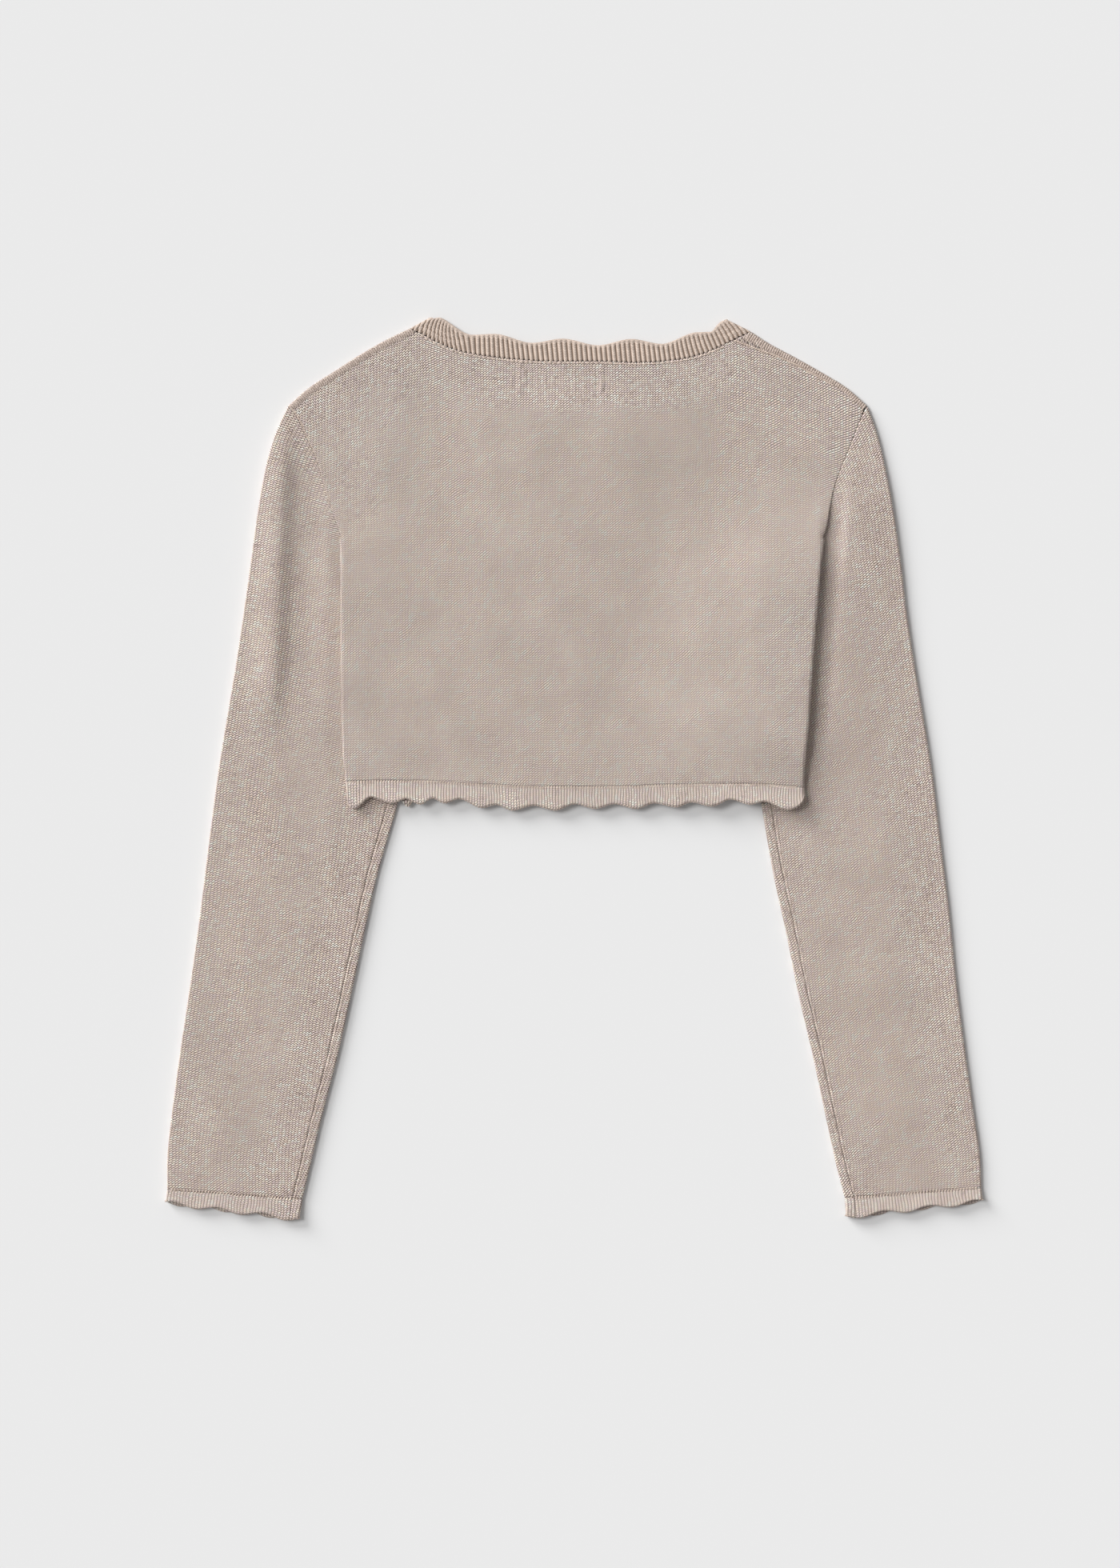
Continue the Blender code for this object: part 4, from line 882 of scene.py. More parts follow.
# The body presses a sleeve down between two heights, and a little past its own side.
PRESSED_PAST = {
    "left": sizes("y width", (-20.0, 0.0), (150.0, 0.0)),
    "right": sizes("y width", (-20.0, -4.0), (5.0, 0.0), (30.5, 3.0), (150.0, 3.0)),
}
PRESSED = {"fades": 12.0, "top": 150.0, "top_fades": 22.0, "foot": -60.0, "foot_fades": 30.0}


def sleeve_top(side, x, y):
    """The height of a sleeve's upper layer, pressed down where the body lies on it."""
    outside = OUTWARD[side] * (x - line_x(SIDE[side], y))
    past = np.interp(y, PRESSED_PAST[side]["y"], PRESSED_PAST[side]["width"])
    pressed = fade(outside, past, PRESSED["fades"]) * fade(y, PRESSED["top"], PRESSED["top_fades"])
    pressed = pressed * fade(-y, -PRESSED["foot"], PRESSED["foot_fades"])
    return SLEEVE_PRESSED + (1.0 - pressed) * (SLEEVE_LOFT + marks(SLEEVE_MARKS[side], x, y))


def tube_loop(length, outer_height, inner_height, top_height, depth, columns):
    """A flattened tube's section from its seam round to its seam: parts of the way from the outer
    fold, heights, and which layer each point is in (1 upper, -1 lower, -2 past the inner fold)."""
    outer, inner = 0.5 * outer_height, 0.5 * inner_height
    seam, gap = 1.0 - UNDERARM_SEAM_IN / length, 0.5 * SEAM / length
    upper = np.linspace(seam - gap, outer / length, columns["top"] + 1)[:-1]
    lower = np.linspace(outer / length, 1.0 - inner / length, columns["floor"] + 1)[1:]
    strip = np.linspace(1.0 - inner / length, seam + gap, columns["strip"] + 1)[1:]
    out = np.abs(np.cos(TUBE_TURNS)) ** FOLD_SQUARENESS
    up = np.sign(np.sin(TUBE_TURNS)) * np.abs(np.sin(TUBE_TURNS)) ** FOLD_SQUARENESS
    turn_down, turn_up = outer - (outer - depth) * out, inner - (inner - depth) * out[-2::-1]
    outer_up, inner_up = outer + (outer - depth) * up, inner + (inner - depth) * up[-2::-1]
    above = TUBE_TURNS > 0.0
    stretches = (
        (upper, top_height(upper) - depth, 1.0),
        (turn_down / length, outer_up, np.where(above, 1.0, -1.0)),
        (lower, depth, -1.0),
        (1.0 - turn_up / length, inner_up, np.where(above[-2::-1], -2.0, -1.0)),
        (strip, top_height(strip) - depth, -2.0),
    )
    return np.vstack([row_of(*stretch) for stretch in stretches]).T


def round_tube(layer, part, width):
    """How far round a tube each point is, from its outer fold out over one layer or the other."""
    return np.where(layer > 0.0, part, np.where(layer > -1.5, -part, part - 2.0 * width))


def from_outer_fold(side, plan):
    """How far points lie from a sleeve's outer fold, and how far down it.

    The fold is smoothed, so that the rows of loops stay even across the whole sleeve."""
    knots = rows_of(SLEEVE[side])[:, :2]
    above = knots[0] + (knots[0] - knots[1]) * np.array([[8.0], [4.0]])
    below = knots[-1] + (knots[-1] - knots[-3]) * np.array([[1.0], [2.0], [3.0]])
    fold = straight_line(np.vstack([above, knots, below]), np.linspace(0.0, 1.0, 1000))
    weights = np.hanning(FOLD_SMOOTHED) / np.hanning(FOLD_SMOOTHED).sum()
    fold = np.column_stack([np.convolve(column, weights, "valid") for column in fold.T])
    nearest = np.linalg.norm(plan[:, None] - fold, axis=2).argmin(axis=1)
    offset, ahead = plan - fold[nearest], unit(np.gradient(fold, axis=0))[nearest]
    away = -OUTWARD[side] * (ahead[:, 0] * offset[:, 1] - ahead[:, 1] * offset[:, 0])
    return away, -run_of(fold)[nearest] - (offset * ahead).sum(axis=1)


def sleeve_skin(side, depth):
    """The points of a sleeve from seam round to seam, each with its place in the knitting."""
    knots = rows_of(SLEEVE[side])
    shares = np.linspace(0.0, 1.0, 91)
    seam = smooth_line(ARMHOLE[side], shares)
    bulge = seam - (seam[0] + shares[:, None] * (seam[-1] - seam[0]))
    rows = []
    for section in smooth_values(knots, np.linspace(0, len(knots) - 1, SLEEVE_SECTIONS + 1)):
        outer, inner, bow = section[:2], section[2:4], section[4]

        def plan(part):
            return outer + part[:, None] * (inner - outer) + bow * between(bulge, shares, part)

        def height(part):
            return sleeve_top(side, *plan(part).T)

        length = np.linalg.norm(inner - outer)
        ends = height(np.array([HEIGHT_TAKEN_IN, length - HEIGHT_TAKEN_IN]) / length)
        parts, heights, layer = tube_loop(length, *ends, height, depth, SLEEVE_COLUMNS)
        spots = plan(parts)
        away, down = from_outer_fold(side, spots)
        start, end = from_outer_fold(side, plan(np.array([0.0, 1.0])))[0]
        across = -OUTWARD[side] * round_tube(layer, away - start, end - start)
        rows.append(row_of(*spots.T, heights, across, down))
    return np.array(rows)


# The sleeves' gaps get a browner painted shade.
sleeve_jersey = fine_jersey("fine_melange_jersey_sleeve", 2.02, 1.43, "422A1B")
for side in OUTWARD:
    sleeve = shell("sleeve_piece_" + side, lambda depth: sleeve_skin(side, depth), sleeve_jersey)
    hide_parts("sleeve_" + side)

# The stitches that close the underarm seam, on both its sides, and those that link the left
# armhole, where it shows.
UNDERARM_SEAM = {"in": 1.0, "raised": 0.08}
UNDERARM_STITCH = {"pitch": 1.7, "size": (1.7, 0.8, 0.5)}
ARMHOLE_LINK = {"pitch": 1.6, "size": (1.9, 0.9, 0.7), "lean": 20.0, "shift": (0.35, 0.2, -0.1)}
sleeve_skins = {side: sleeve_skin(side, 0.0)[..., :3] for side in OUTWARD}
for side, skin in sleeve_skins.items():
    for layer, edge, within, lean in (("top", 0, 3, 62.0), ("strip", -1, -3, -50.0)):
        inner_way = UNDERARM_SEAM["in"] * unit((skin[:, within] - skin[:, edge])[:, :2])
        line = skin[:, edge] + row_of(*inner_way.T, UNDERARM_SEAM["raised"])
        name, lean = "underarm_stitches_" + layer + "_" + side, OUTWARD[side] * lean
        seam_row(name, line, shade_yarn, lean=lean, **UNDERARM_STITCH)
shown = slice(SLEEVE_COLUMNS["top"] - 1, SLEEVE_COLUMNS["top"] - 41, -1)
seam_row("armhole_linking_left", sleeve_skins["left"][0, shown], seam_yarn, **ARMHOLE_LINK)

# ---- The cuffs ----
# A short band of jersey round each wrist, with its wales running on from the sleeve.  It ends
# in six small scallops, and stands a little open.

CUFF_END = {
    "left": {"outer": (-255.4, -271.0), "inner": (-171.6, -281.6)},
    "right": {"outer": (255.6, -270.0), "inner": (170.0, -280.0)},
}
CUFF_SCALLOPS = {"count": 6, "first_tip": 0.225, "depth": 2.9, "opens": 1.8}
CUFF_ROWS = 8
CUFF_COLUMNS = {"top": 120, "floor": 110, "strip": 8}
CUFF_KNITTED = 12.0
CUFF_OPEN = SHOULDER_TOP + CUFF_SCALLOPS["opens"]
CUFF_PICOT = {"pitch": 1.9, "size": (1.5, 0.9, 1.0), "low": 0.6, "high": CUFF_OPEN - 0.5}
CUFF_LINK = {"pitch": 1.92, "size": (2.0, 0.95, 0.45), "lean": 80.0, "shift": (0.0, 1.45, 0.0)}


def cuff_skin(side, depth):
    """The points of a cuff from seam round to seam, each with its place in the knitting."""
    top = rows_of(SLEEVE[side])[-1, :4].reshape(2, 2)
    end = np.array([CUFF_END[side]["outer"], CUFF_END[side]["inner"]])
    down = unit((end - top).mean(axis=0))
    top = top + SEAM * unit(end - top)
    rows = []
    for along in np.linspace(0.0, 1.0, CUFF_ROWS + 1):
        outer, inner = top + along * (end - top)
        opening = SHOULDER_TOP + CUFF_SCALLOPS["opens"] * along
        length = np.linalg.norm(inner - outer)
        loop = tube_loop(length, opening, opening, lambda part: opening, depth, CUFF_COLUMNS)
        parts, heights, layer = loop
        place = np.where(heights < 0.5 * opening, 2.0 - parts, parts)
        phase = math.pi * CUFF_SCALLOPS["count"] * (place - CUFF_SCALLOPS["first_tip"])
        hang = 0.5 * CUFF_SCALLOPS["depth"] * np.cos(phase) * along
        x, y = (outer + parts[:, None] * (inner - outer) + hang[:, None] * down).T
        across = -OUTWARD[side] * length * round_tube(layer, parts, 1.0)
        rows.append(row_of(x, y, heights, across, -CUFF_KNITTED * along))
    return np.array(rows)


cuff_jersey = fine_jersey("fine_melange_jersey_cuff", 1.92, 1.30, between_wales=0.30, between_rows=0.10)
for side in OUTWARD:
    cuff = shell("cuff_band_" + side, lambda depth: cuff_skin(side, depth), cuff_jersey)
    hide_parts("cuff_" + side)
    skin = cuff_skin(side, 0.0)[..., :3]
    spots, along = stations(skin[-1], CUFF_PICOT["pitch"])
    spots[:, 2] = np.clip(spots[:, 2], CUFF_PICOT["low"], CUFF_PICOT["high"])
    stitches("cuff_picots_" + side, spots, along, CUFF_PICOT["size"], shade_yarn)
    seam_row("cuff_linking_" + side, skin[1][: CUFF_COLUMNS["top"]], seam_yarn, **CUFF_LINK)

# ---- The hem bands ----
# A band of jersey linked along the foot of the back and of each front.  Its edge is knitted
# in shallow scallops, and the corners of the back's band curl up a little.

HEM_SCALLOPS = sizes(
    "valley_x valley_y tip_x tip_y lift",
    (-141.8, -16.0, -137.6, -24.8, 0.6), (-126.8, -17.2, -113.8, -21.0, 1.6),
    (-104.5, -18.3, -95.8, -21.8, 1.2), (-88.5, -17.9, -80.8, -21.0, 0.8),
    (-71.8, -18.3, -57.3, -23.9, 0.4), (-48.8, -22.0, -38.3, -25.5, 0.2),
    (-25.3, -22.5, -11.8, -25.5, 0.2), (0.7, -21.5, 13.3, -24.5, 0.2),
    (25.3, -21.5, 38.8, -24.5, 0.2), (50.3, -21.0, 63.8, -23.5, 0.2),
    (73.3, -20.5, 86.3, -23.0, 0.4), (97.8, -18.6, 109.8, -21.8, 0.8),
    (118.3, -20.0, 133.8, -25.0, 1.8),
)
HEM_END = (143.8, -15.0)

# The valleys and tips of the fronts' hem bands, from the side in to the front band.
FRONT_HEM_SCALLOPS = {
    "left": sizes(
        "x y", (-141.8, -14.5), (-126.0, -16.0), (-117.0, -19.0), (-110.5, -17.2), (-104.0, -23.5),
        (-97.5, -17.5), (-92.0, -19.0), (-80.0, -16.5), (-68.0, -19.0), (-56.0, -17.0),
        (-43.5, -20.0), (-31.0, -17.5), (-19.0, -20.0), (-9.3, -18.5),
    ),
    "right": sizes(
        "x y", (143.8, -14.5), (132.0, -16.0), (122.0, -18.0), (110.0, -16.0), (98.0, -17.5),
        (86.0, -16.0), (74.0, -19.0), (62.0, -17.0), (50.0, -19.5), (37.5, -17.5), (25.0, -20.0),
        (13.3, -18.5),
    ),
}
HEM_COLUMNS = 400
FRONT_HEM_COLUMNS = 180
HEM_ACROSS = np.linspace(0.0, 1.0, 9)
HEM_LEVEL_FROM_EDGE = 1.3
HEM_KNITTED = {"back": 12.0, "front": 9.0}


def wave_y(x, xs, ys):
    """The height of an edge that swings softly between extremes."""
    order = np.argsort(xs)
    xs, ys = xs[order], ys[order]
    left = np.clip(np.searchsorted(xs, x, side="right") - 1, 0, len(xs) - 2)
    part = (x - xs[left]) / (xs[left + 1] - xs[left])
    return ys[left] + (ys[left + 1] - ys[left]) * ease(part)


def hem_edge_y(x, across):
    """The height of a line of the back's hem band, from its seam at 0 to its edge at 1."""
    scallops = rows_of(HEM_SCALLOPS)
    valleys, tips = np.vstack([scallops[:, :2], HEM_END]), scallops[:, 2:4]
    edge = wave_y(x, *np.vstack([valleys, tips]).T)
    for end, tip in ((valleys[0], tips[0]), (valleys[-1], tips[-1])):
        part = np.clip((x - tip[0]) / (end[0] - tip[0]), 0.0, 1.0)
        rounded = tip[1] + (end[1] - tip[1]) * (1.0 - np.sqrt(1.0 - part**2))
        edge = np.where(part > 0.0, rounded, edge)
    top = hem_seam_y(x)
    return top + across * (edge - top)


def hem_height(x, y, across):
    """The height of the outer side of the back's hem band."""
    return back_top(x, y) + np.interp(x, HEM_SCALLOPS["tip_x"], HEM_SCALLOPS["lift"]) * across**2


def hem_back_skin(depth):
    """The points of the back's hem band, each with its place in the knitting."""
    rows = []
    for across in HEM_ACROSS:
        tips, rolls, level = {}, {}, []
        for side, out in OUTWARD.items():
            tip_y = hem_edge_y(SIDE[side]["x"][-1], across)
            tips[side] = line_x(SIDE[side], tip_y)
            rolls[side] = rolled(side, hem_height(tips[side], tip_y, across), 1.0, depth, True)
            level.append(tips[side] - out * HEM_LEVEL_FROM_EDGE * SIDE_FOLD_RADIUS[side])
        left, right = tips["left"] + rolls["left"][0], tips["right"] - rolls["right"][0]
        x = np.concatenate([left, np.linspace(*level, HEM_COLUMNS + 1), right[::-1]])
        y = hem_edge_y(x, across)
        z = hem_height(x, y, across) - depth
        z[:ROLL], z[-ROLL:] = rolls["left"][1], rolls["right"][1][::-1]
        rows.append(row_of(x, y, z, x, -HEM_KNITTED["back"] * across))
    return np.array(rows)


def hem_front_skin(side, depth):
    """The points of a front's hem band, each with its place in the knitting."""
    scallops, out = FRONT_HEM_SCALLOPS[side], OUTWARD[side]
    tip = line_x(SIDE[side], scallops["y"][0])
    steps, heights = rolled(side, front_floor(side, tip, 0.0), 1.0, depth, False)
    level = tip - out * HEM_LEVEL_FROM_EDGE * SIDE_FOLD_RADIUS[side]
    x = np.concatenate([tip - out * steps, np.linspace(level, scallops["x"][-1], FRONT_HEM_COLUMNS)])
    top, edge = hem_seam_y(x) - 0.5 * SEAM, wave_y(x, scallops["x"], scallops["y"])
    rows = []
    for across in HEM_ACROSS:
        y = top + across * (edge - top)
        z = front_floor(side, x, y) + depth
        z[:ROLL] = heights
        rows.append(row_of(x, y, z, x, -HEM_KNITTED["front"] * across))
    return np.array(rows)


hem_jersey = fine_jersey("fine_melange_jersey_hem", 1.75, 1.30, between_wales=0.20, between_rows=0.25)
hem = shell("hem_band_back", hem_back_skin, hem_jersey)
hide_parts("hem_back")
hem_skin = hem_back_skin(0.0)[..., :3]
picots, linked = hem_skin[-1], hem_skin[0][ROLL:-ROLL]
HEM_PICOT = {"pitch": 1.8, "size": (1.7, 1.2, 1.1), "shift": (0.0, -0.2, -0.6)}
HEM_LINK = {"pitch": 1.75, "size": (2.1, 1.0, 0.5), "lean": 86.0, "shift": (0.0, -0.3, 0.0)}
seam_row("hem_picots", picots, shade_yarn, **HEM_PICOT)
seam_row("hem_linking", linked, seam_yarn, **HEM_LINK)
for side in OUTWARD:
    front_hem = shell("hem_band_front_" + side, lambda depth: hem_front_skin(side, depth), hem_jersey)
    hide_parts("hem_front_" + side)

# ---- The neckband ----
# One strip of 1x1 rib, linked to the neckline rib by rib and cast off in long scallops.  It
# runs from front band to front band, and folds over at both shoulders.

NECK_EDGE = sizes(
    "x y", (-88.8, 283.0), (-63.8, 271.1), (-50.3, 271.7), (-26.3, 266.1), (-7.3, 268.7), (15.2, 264.6),
    (36.2, 268.5), (55.2, 265.5), (78.0, 272.7), (86.0, 273.0), (94.8, 281.5),
)
NECK_SEAM_RIGHT_CORNER = (101.8, 269.5)
FRONT_NECK_SCALLOP = {"pitch": 42.0, "depth": 2.4}
RIB = {"count": 71, "pitch": 3.0, "height": 0.4, "groove": 0.25, "fullness": 0.7, "columns": 10}
NECK_ACROSS = np.linspace(0.0, 1.0, 17)
NECK_KNITTED = 12.0
NECK_BOUND_FROM = 0.82
NECK_BOUND_FADES = 0.12
NECK_BOUND_HEIGHT = 0.4
LINKING_HOLE = 0.9
TIP_ROUNDED = {"left": 2.6, "right": 1.2}
TIP_SHARE = 0.03
RIB_LEAN = {"left": 46.0, "right": 34.0}
NECK_FRONT_COLUMNS = 180
NECK_FRONT_RIBS = 50.0
RIBS_IN_FOLD = 2.0

# How far the ribs lean to the right for each millimetre up, along the seam.
RIB_SLANT = sizes(
    "x slant", (-101.8, 0.70), (-96.2, 0.55), (-91.0, 0.28), (-83.0, 0.10), (-75.0, -0.10),
    (-68.0, -0.19), (-60.0, -0.03), (-48.0, -0.05), (-36.0, -0.12), (0.0, -0.08), (40.0, -0.10),
    (64.3, -0.15), (70.3, -0.22), (81.0, -0.31), (90.0, -0.44), (97.4, -0.60), (105.0, -0.80),
)


def neck_corner(side):
    """The neckband's fold at a shoulder: its seam end, its tip, and their inward direction."""
    seam_end, inward = fold_line(side, [1.0])
    return seam_end[0], rows_of(SHOULDER_FOLD[side])[-1], inward[0]


def front_neck_stations(side):
    """Matching points on the seam and the free edge, from the shoulder down to the front band."""
    seam_end, tip, inward = neck_corner(side)
    fold = np.concatenate([seam_end + FOLD_RADIUS * inward, tip + FOLD_RADIUS * inward])
    knots = np.vstack([fold, rows_of(FRONT_NECK[side])])
    both = smooth_values(knots, np.linspace(0, len(knots) - 1, NECK_FRONT_COLUMNS + 1))
    seam, edge = both[:, :2], both[:, 2:]
    phase = 2 * math.pi * run_of(edge) / FRONT_NECK_SCALLOP["pitch"]
    swing = 0.5 * FRONT_NECK_SCALLOP["depth"] * (np.cos(phase) - 1.0)
    return seam, edge + swing[:, None] * unit(edge - seam)


def back_neck_stations():
    """Matching points on the seam and the free edge across the back, several for each rib."""
    left_end, left_tip, left_in = neck_corner("left")
    right_end, right_tip, right_in = neck_corner("right")
    linked = smooth_line(NECK_SEAM, np.linspace(0.0, 1.0, 100))
    first, last = left_end + FOLD_RADIUS * left_in, right_end + FOLD_RADIUS * right_in
    start, end = left_tip + FOLD_RADIUS * left_in, right_tip + FOLD_RADIUS * right_in
    fractions = np.linspace(0.0, 1.0, RIB["columns"] * RIB["count"] + 1)
    seam = straight_line(np.vstack([first, linked, NECK_SEAM_RIGHT_CORNER, last]), fractions)
    run = fractions * run_of(seam)[-1]
    lean_left = (start[0] - seam[0, 0]) * fade(run, 0.0, RIB_LEAN["left"])
    lean_right = (end[0] - seam[-1, 0]) * fade(run[-1] - run, 0.0, RIB_LEAN["right"])
    x = seam[:, 0] + lean_left + lean_right
    share = (x - start[0]) / (end[0] - start[0])
    across = NECK_EDGE["x"][0] + share * (NECK_EDGE["x"][-1] - NECK_EDGE["x"][0])
    sink_left = (start[1] - left_tip[1]) * fade(share, 0.0, TIP_SHARE)
    sink_right = (end[1] - right_tip[1]) * fade(1.0 - share, 0.0, TIP_SHARE)
    return seam, np.column_stack([x, wave_y(across, *NECK_EDGE.values()) + sink_left + sink_right])


def rib_shifts(seams, edges):
    """How many ribs further along each point of the neckband lies, as the ribs slant."""
    steps = np.gradient(seams, axis=0)
    pitch, ahead = np.linalg.norm(steps, axis=1) * RIB["columns"], unit(steps)
    lean, rise = (edges - seams).T
    along = 0.0
    for _ in range(4):
        slant = np.interp(seams[:, 0] + along * ahead[:, 0], RIB_SLANT["x"], RIB_SLANT["slant"])
        along = (lean - slant * rise) / (ahead[:, 0] - slant * ahead[:, 1])
    return NECK_ACROSS * (along / pitch)[:, None]


def neckband_skin(depth):
    """The points of the neckband from its left front end round to its right, and their places."""
    rows = []
    bound = ease((NECK_ACROSS - NECK_BOUND_FROM) / NECK_BOUND_FADES)

    def station(seam, edge, height, raised, ribs):
        spots = seam + NECK_ACROSS[:, None] * (edge - seam)
        z = height + raised * (1.0 - bound) + NECK_BOUND_HEIGHT * np.max(raised) * bound
        rows.append(row_of(*spots.T, z, RIB["pitch"] * ribs, NECK_KNITTED * NECK_ACROSS))

    def rib_height(ribs):
        crest = (0.5 - 0.5 * np.cos(2 * math.pi * ribs)) ** RIB["fullness"]
        return ((RIB["height"] + RIB["groove"]) * crest - RIB["groove"]) * float(depth == 0.0)

    def folded(side, turns, first_rib, shift):
        seam_end, tip, inward = neck_corner(side)
        back_along = unit(seam_end - tip)
        ribs = first_rib + np.linspace(0.1, 0.9, len(turns)) * RIBS_IN_FOLD
        for turn, rib in zip(turns, ribs):
            radius = FOLD_RADIUS - depth
            across = (FOLD_RADIUS - radius * math.cos(turn)) * inward
            rise = rib_height(rib + shift) * max(0.0, math.sin(turn))
            short = TIP_ROUNDED[side] * math.cos(turn) ** 2 * back_along
            height = FOLD_RADIUS + radius * math.sin(turn)
            station(seam_end + across, tip + across + short, height, rise, rib + shift)

    def front(side, first_rib, shift):
        ribs = first_rib + np.linspace(0.0, OUTWARD[side] * NECK_FRONT_RIBS, NECK_FRONT_COLUMNS + 1)
        parts = list(zip(*front_neck_stations(side), ribs, np.linspace(1.0, -2.0, len(ribs))))
        for seam, edge, rib, still in parts if side == "right" else parts[::-1]:
            station(seam, edge, band_floor(side, seam[0]) + depth, 0.0, rib + shift * max(0.0, still))

    seams, edges = back_neck_stations()
    shifts = rib_shifts(seams, edges)
    front("left", -RIBS_IN_FOLD, shifts[0])
    folded("left", FOLD_TURNS[1:-1], -RIBS_IN_FOLD, shifts[0])
    for number, (seam, edge, shift) in enumerate(zip(seams, edges, shifts)):
        rib = number / RIB["columns"]
        hole = LINKING_HOLE * (0.5 + 0.5 * math.cos(2 * math.pi * rib)) ** 2
        ribs = rib + shift
        station(seam + hole * unit(edge - seam), edge, SHOULDER_TOP - depth, rib_height(ribs), ribs)
    folded("right", FOLD_TURNS[-2:0:-1], RIB["count"], shifts[-1])
    front("right", RIB["count"] + RIBS_IN_FOLD, shifts[-1])
    return np.array(rows)


def ribbed_knit(name, pitch, course, crest, groove, bound_from=1000.0):
    """Rib in the same melange yarn: round pale columns of loops with dark brown grooves.

    Pitch and course are the real sizes of a rib and of a row of loops in millimetres, and the
    grooves close where the edge is bound.  The dark groove colour is painted shade, and the
    crests get a little painted shade between their rows of loops."""
    values = {"Roughness": 0.85, "Specular IOR Level": 0.2, "Sheen Weight": 0.15}
    cloth, tree, shader = new_material(name, values)
    soft = {"interpolation_type": "SMOOTHSTEP"}
    split = add(tree, "SeparateXYZ", [add(tree, "UVMap", uv_map="knit")])
    ribs = add(tree, "Math", [split.outputs["X"], pitch], operation="DIVIDE")
    rows = add(tree, "Math", [split.outputs["Y"], course], operation="DIVIDE")
    from_groove = add(tree, "Math", [ribs, 0.5], operation="PINGPONG")
    between_grooves = add(tree, "MapRange", [from_groove, 0.03, 0.24], **soft)
    closing = [split.outputs["Y"], bound_from, bound_from + 0.8, 0.0, 0.85]
    bound = add(tree, "MapRange", closing, **soft)
    open_rib = add(tree, "Math", [between_grooves, bound], operation="MAXIMUM")
    slant = add(tree, "Math", [from_groove, 1.2, rows], operation="MULTIPLY_ADD")
    along = add(tree, "Math", [slant, 0.5], operation="PINGPONG")
    rib = add(tree, "Math", [ribs], operation="FLOOR")
    row = add(tree, "Math", [slant], operation="FLOOR")
    number = {"Vector": add(tree, "CombineXYZ", [rib, row])}
    chance = add(tree, "TexWhiteNoise", number, noise_dimensions="2D")
    # Painted shade on the crests between their rows of loops.
    loop = add(tree, "MapRange", [along, 0.0, 0.35, 0.72, 1.0], **soft)
    varied = add(tree, "Math", [chance, 0.20, loop], operation="MULTIPLY_ADD")
    pale = add(tree, "VectorMath", {0: linear(crest)[:3], "Scale": varied}, operation="SCALE")
    # Painted shade: the groove colour fills the grooves between the ribs.
    coloured = add(tree, "Mix", {"Factor": open_rib, "A": linear(groove), "B": pale}, data_type="RGBA")
    height = add(tree, "Math", [open_rib, loop], operation="MULTIPLY")
    raised = add(tree, "Bump", {"Height": height, "Strength": 0.5, "Distance": 0.35 * METRE})
    tree.links.new(coloured.outputs["Result"], shader.inputs["Base Color"])
    tree.links.new(raised.outputs[0], shader.inputs["Normal"])
    return cloth


bound_at = NECK_KNITTED * NECK_BOUND_FROM
# Its dark groove colour is painted shade.
neck_rib = ribbed_knit("melange_rib_neckband", RIB["pitch"], 1.4, "CDBBAE", "8A7565", bound_at)
neckband = shell("neckband_strip", neckband_skin, neck_rib)
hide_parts("neckband")

# The cast-off edge, a row of small round loops.
from_fold = NECK_FRONT_COLUMNS + 1 + len(FOLD_TURNS) // 2
cast_off = neckband_skin(0.0)[from_fold:-from_fold, -1, :3]
NECK_CAST_OFF = {"pitch": 1.5, "size": (1.8, 1.1, 1.1), "shift": (0.0, -0.2, -0.55)}
seam_row("neck_cast_off", cast_off, shade_yarn, **NECK_CAST_OFF)

# ---- The front bands and buttons ----
# Two narrow rib bands, linked down the front edges, lap over each other and are held by five
# small moulded buttons.  All of this is hidden under the back.

BAND = {"half": 11.0, "top": 206.8, "foot": -18.5, "columns": 23, "rows": 150}
BUTTON = {"across": 11.0, "bevel": 0.8, "dish": 0.4, "sides": 40}
BUTTON_Y = {"first": 197.0, "pitch": 51.5, "count": 5}


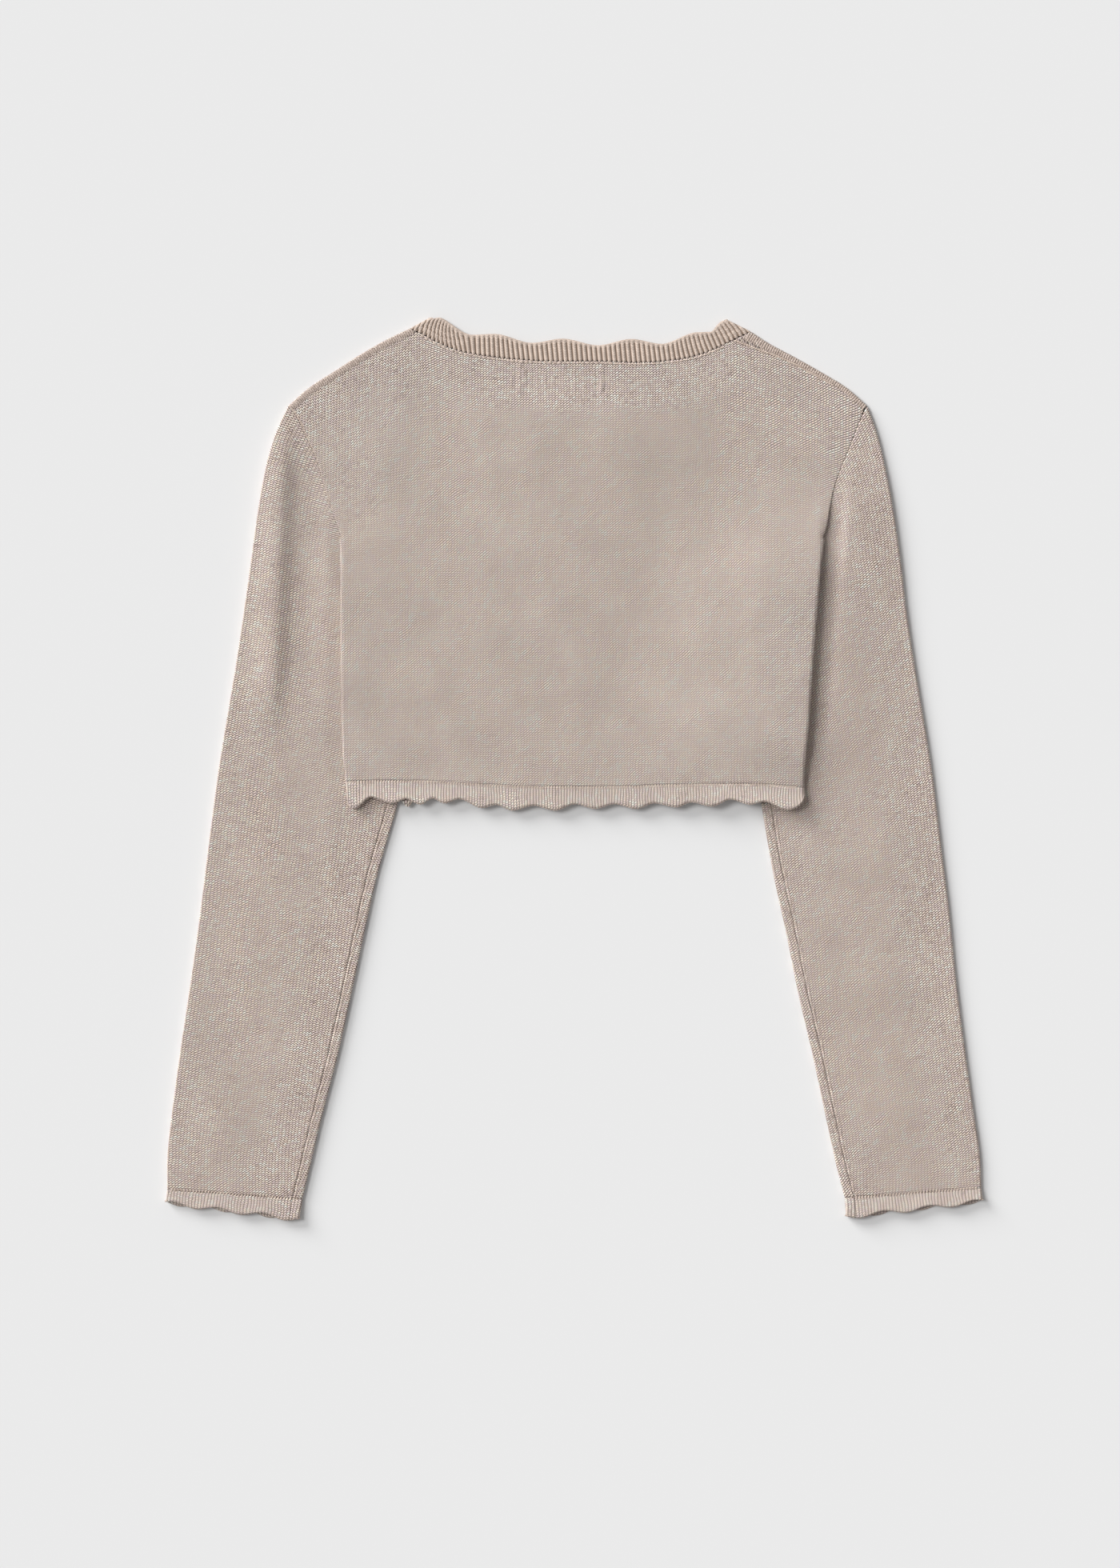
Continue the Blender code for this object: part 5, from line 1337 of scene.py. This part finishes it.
def front_band_skin(side, depth):
    """The points of a front band, which lies flat, each with its place in the knitting."""
    x = np.linspace(PLACKET_X - BAND["half"], PLACKET_X + BAND["half"], BAND["columns"])
    heights = np.linspace(BAND["foot"], BAND["top"], BAND["rows"])
    return np.array([row_of(x, y, BAND_LIFT[side] + depth, x, y) for y in heights])


# Its dark groove colour is painted shade.
band_rib = ribbed_knit("melange_rib_front_band", 2.2, 1.4, "CDBBAE", "6E5B4F")
for side in OUTWARD:
    band = shell("front_band_" + side, lambda depth: front_band_skin(side, depth), band_rib)
    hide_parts("band_" + side)


def moulded_resin(name, colour):
    """Moulded polyester resin, polished in a drum: a soft even shine with faint cloudy streaks."""
    resin, tree, shader = new_material(name, {"Roughness": 0.32, "IOR": 1.56})
    place = {"Vector": add(tree, "TexCoord").outputs["Object"], "Scale": 260.0}
    streaks = add(tree, "TexNoise", {**place, "Detail": 4.0, "Distortion": 1.5})
    tone = add(tree, "MapRange", [streaks, 0.0, 1.0, 0.82, 1.12])
    coloured = add(tree, "VectorMath", {0: linear(colour)[:3], "Scale": tone}, operation="SCALE")
    tree.links.new(coloured.outputs[0], shader.inputs["Base Color"])
    return resin


def button_shape(name, y):
    """A round button lying on its face, dished on that side, with a rounded rim."""
    radius, bevel, dish = 0.5 * BUTTON["across"], BUTTON["bevel"], BUTTON["dish"]
    profile = sizes(
        "out height", (0.0, dish), (radius - 3.4 * bevel, dish), (radius - 3.0 * bevel, 0.9 * dish),
        (radius - 2.2 * bevel, 0.1 * dish), (radius - 2.0 * bevel, 0.0), (radius - bevel, 0.0),
        (radius - 0.3 * bevel, 0.3 * bevel), (radius, bevel),
        (radius - 0.15 * bevel, 0.85 * BUTTON_THICK), (radius - 0.5 * bevel, BUTTON_THICK),
        (0.0, BUTTON_THICK),
    )
    shape, faces = round_shape(profile["height"], profile["out"], BUTTON["sides"])
    points = shape[:, [1, 2, 0]] + (PLACKET_X, y, 0.0)
    return piece(name, points, faces, points[:, :2], button_resin)


button_resin = moulded_resin("moulded_resin_button", "B7A99A")
for number in range(1, BUTTON_Y["count"] + 1):
    y = BUTTON_Y["first"] - BUTTON_Y["pitch"] * (number - 1)
    button = button_shape("resin_button_" + str(number), y)
    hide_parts("button_" + str(number))
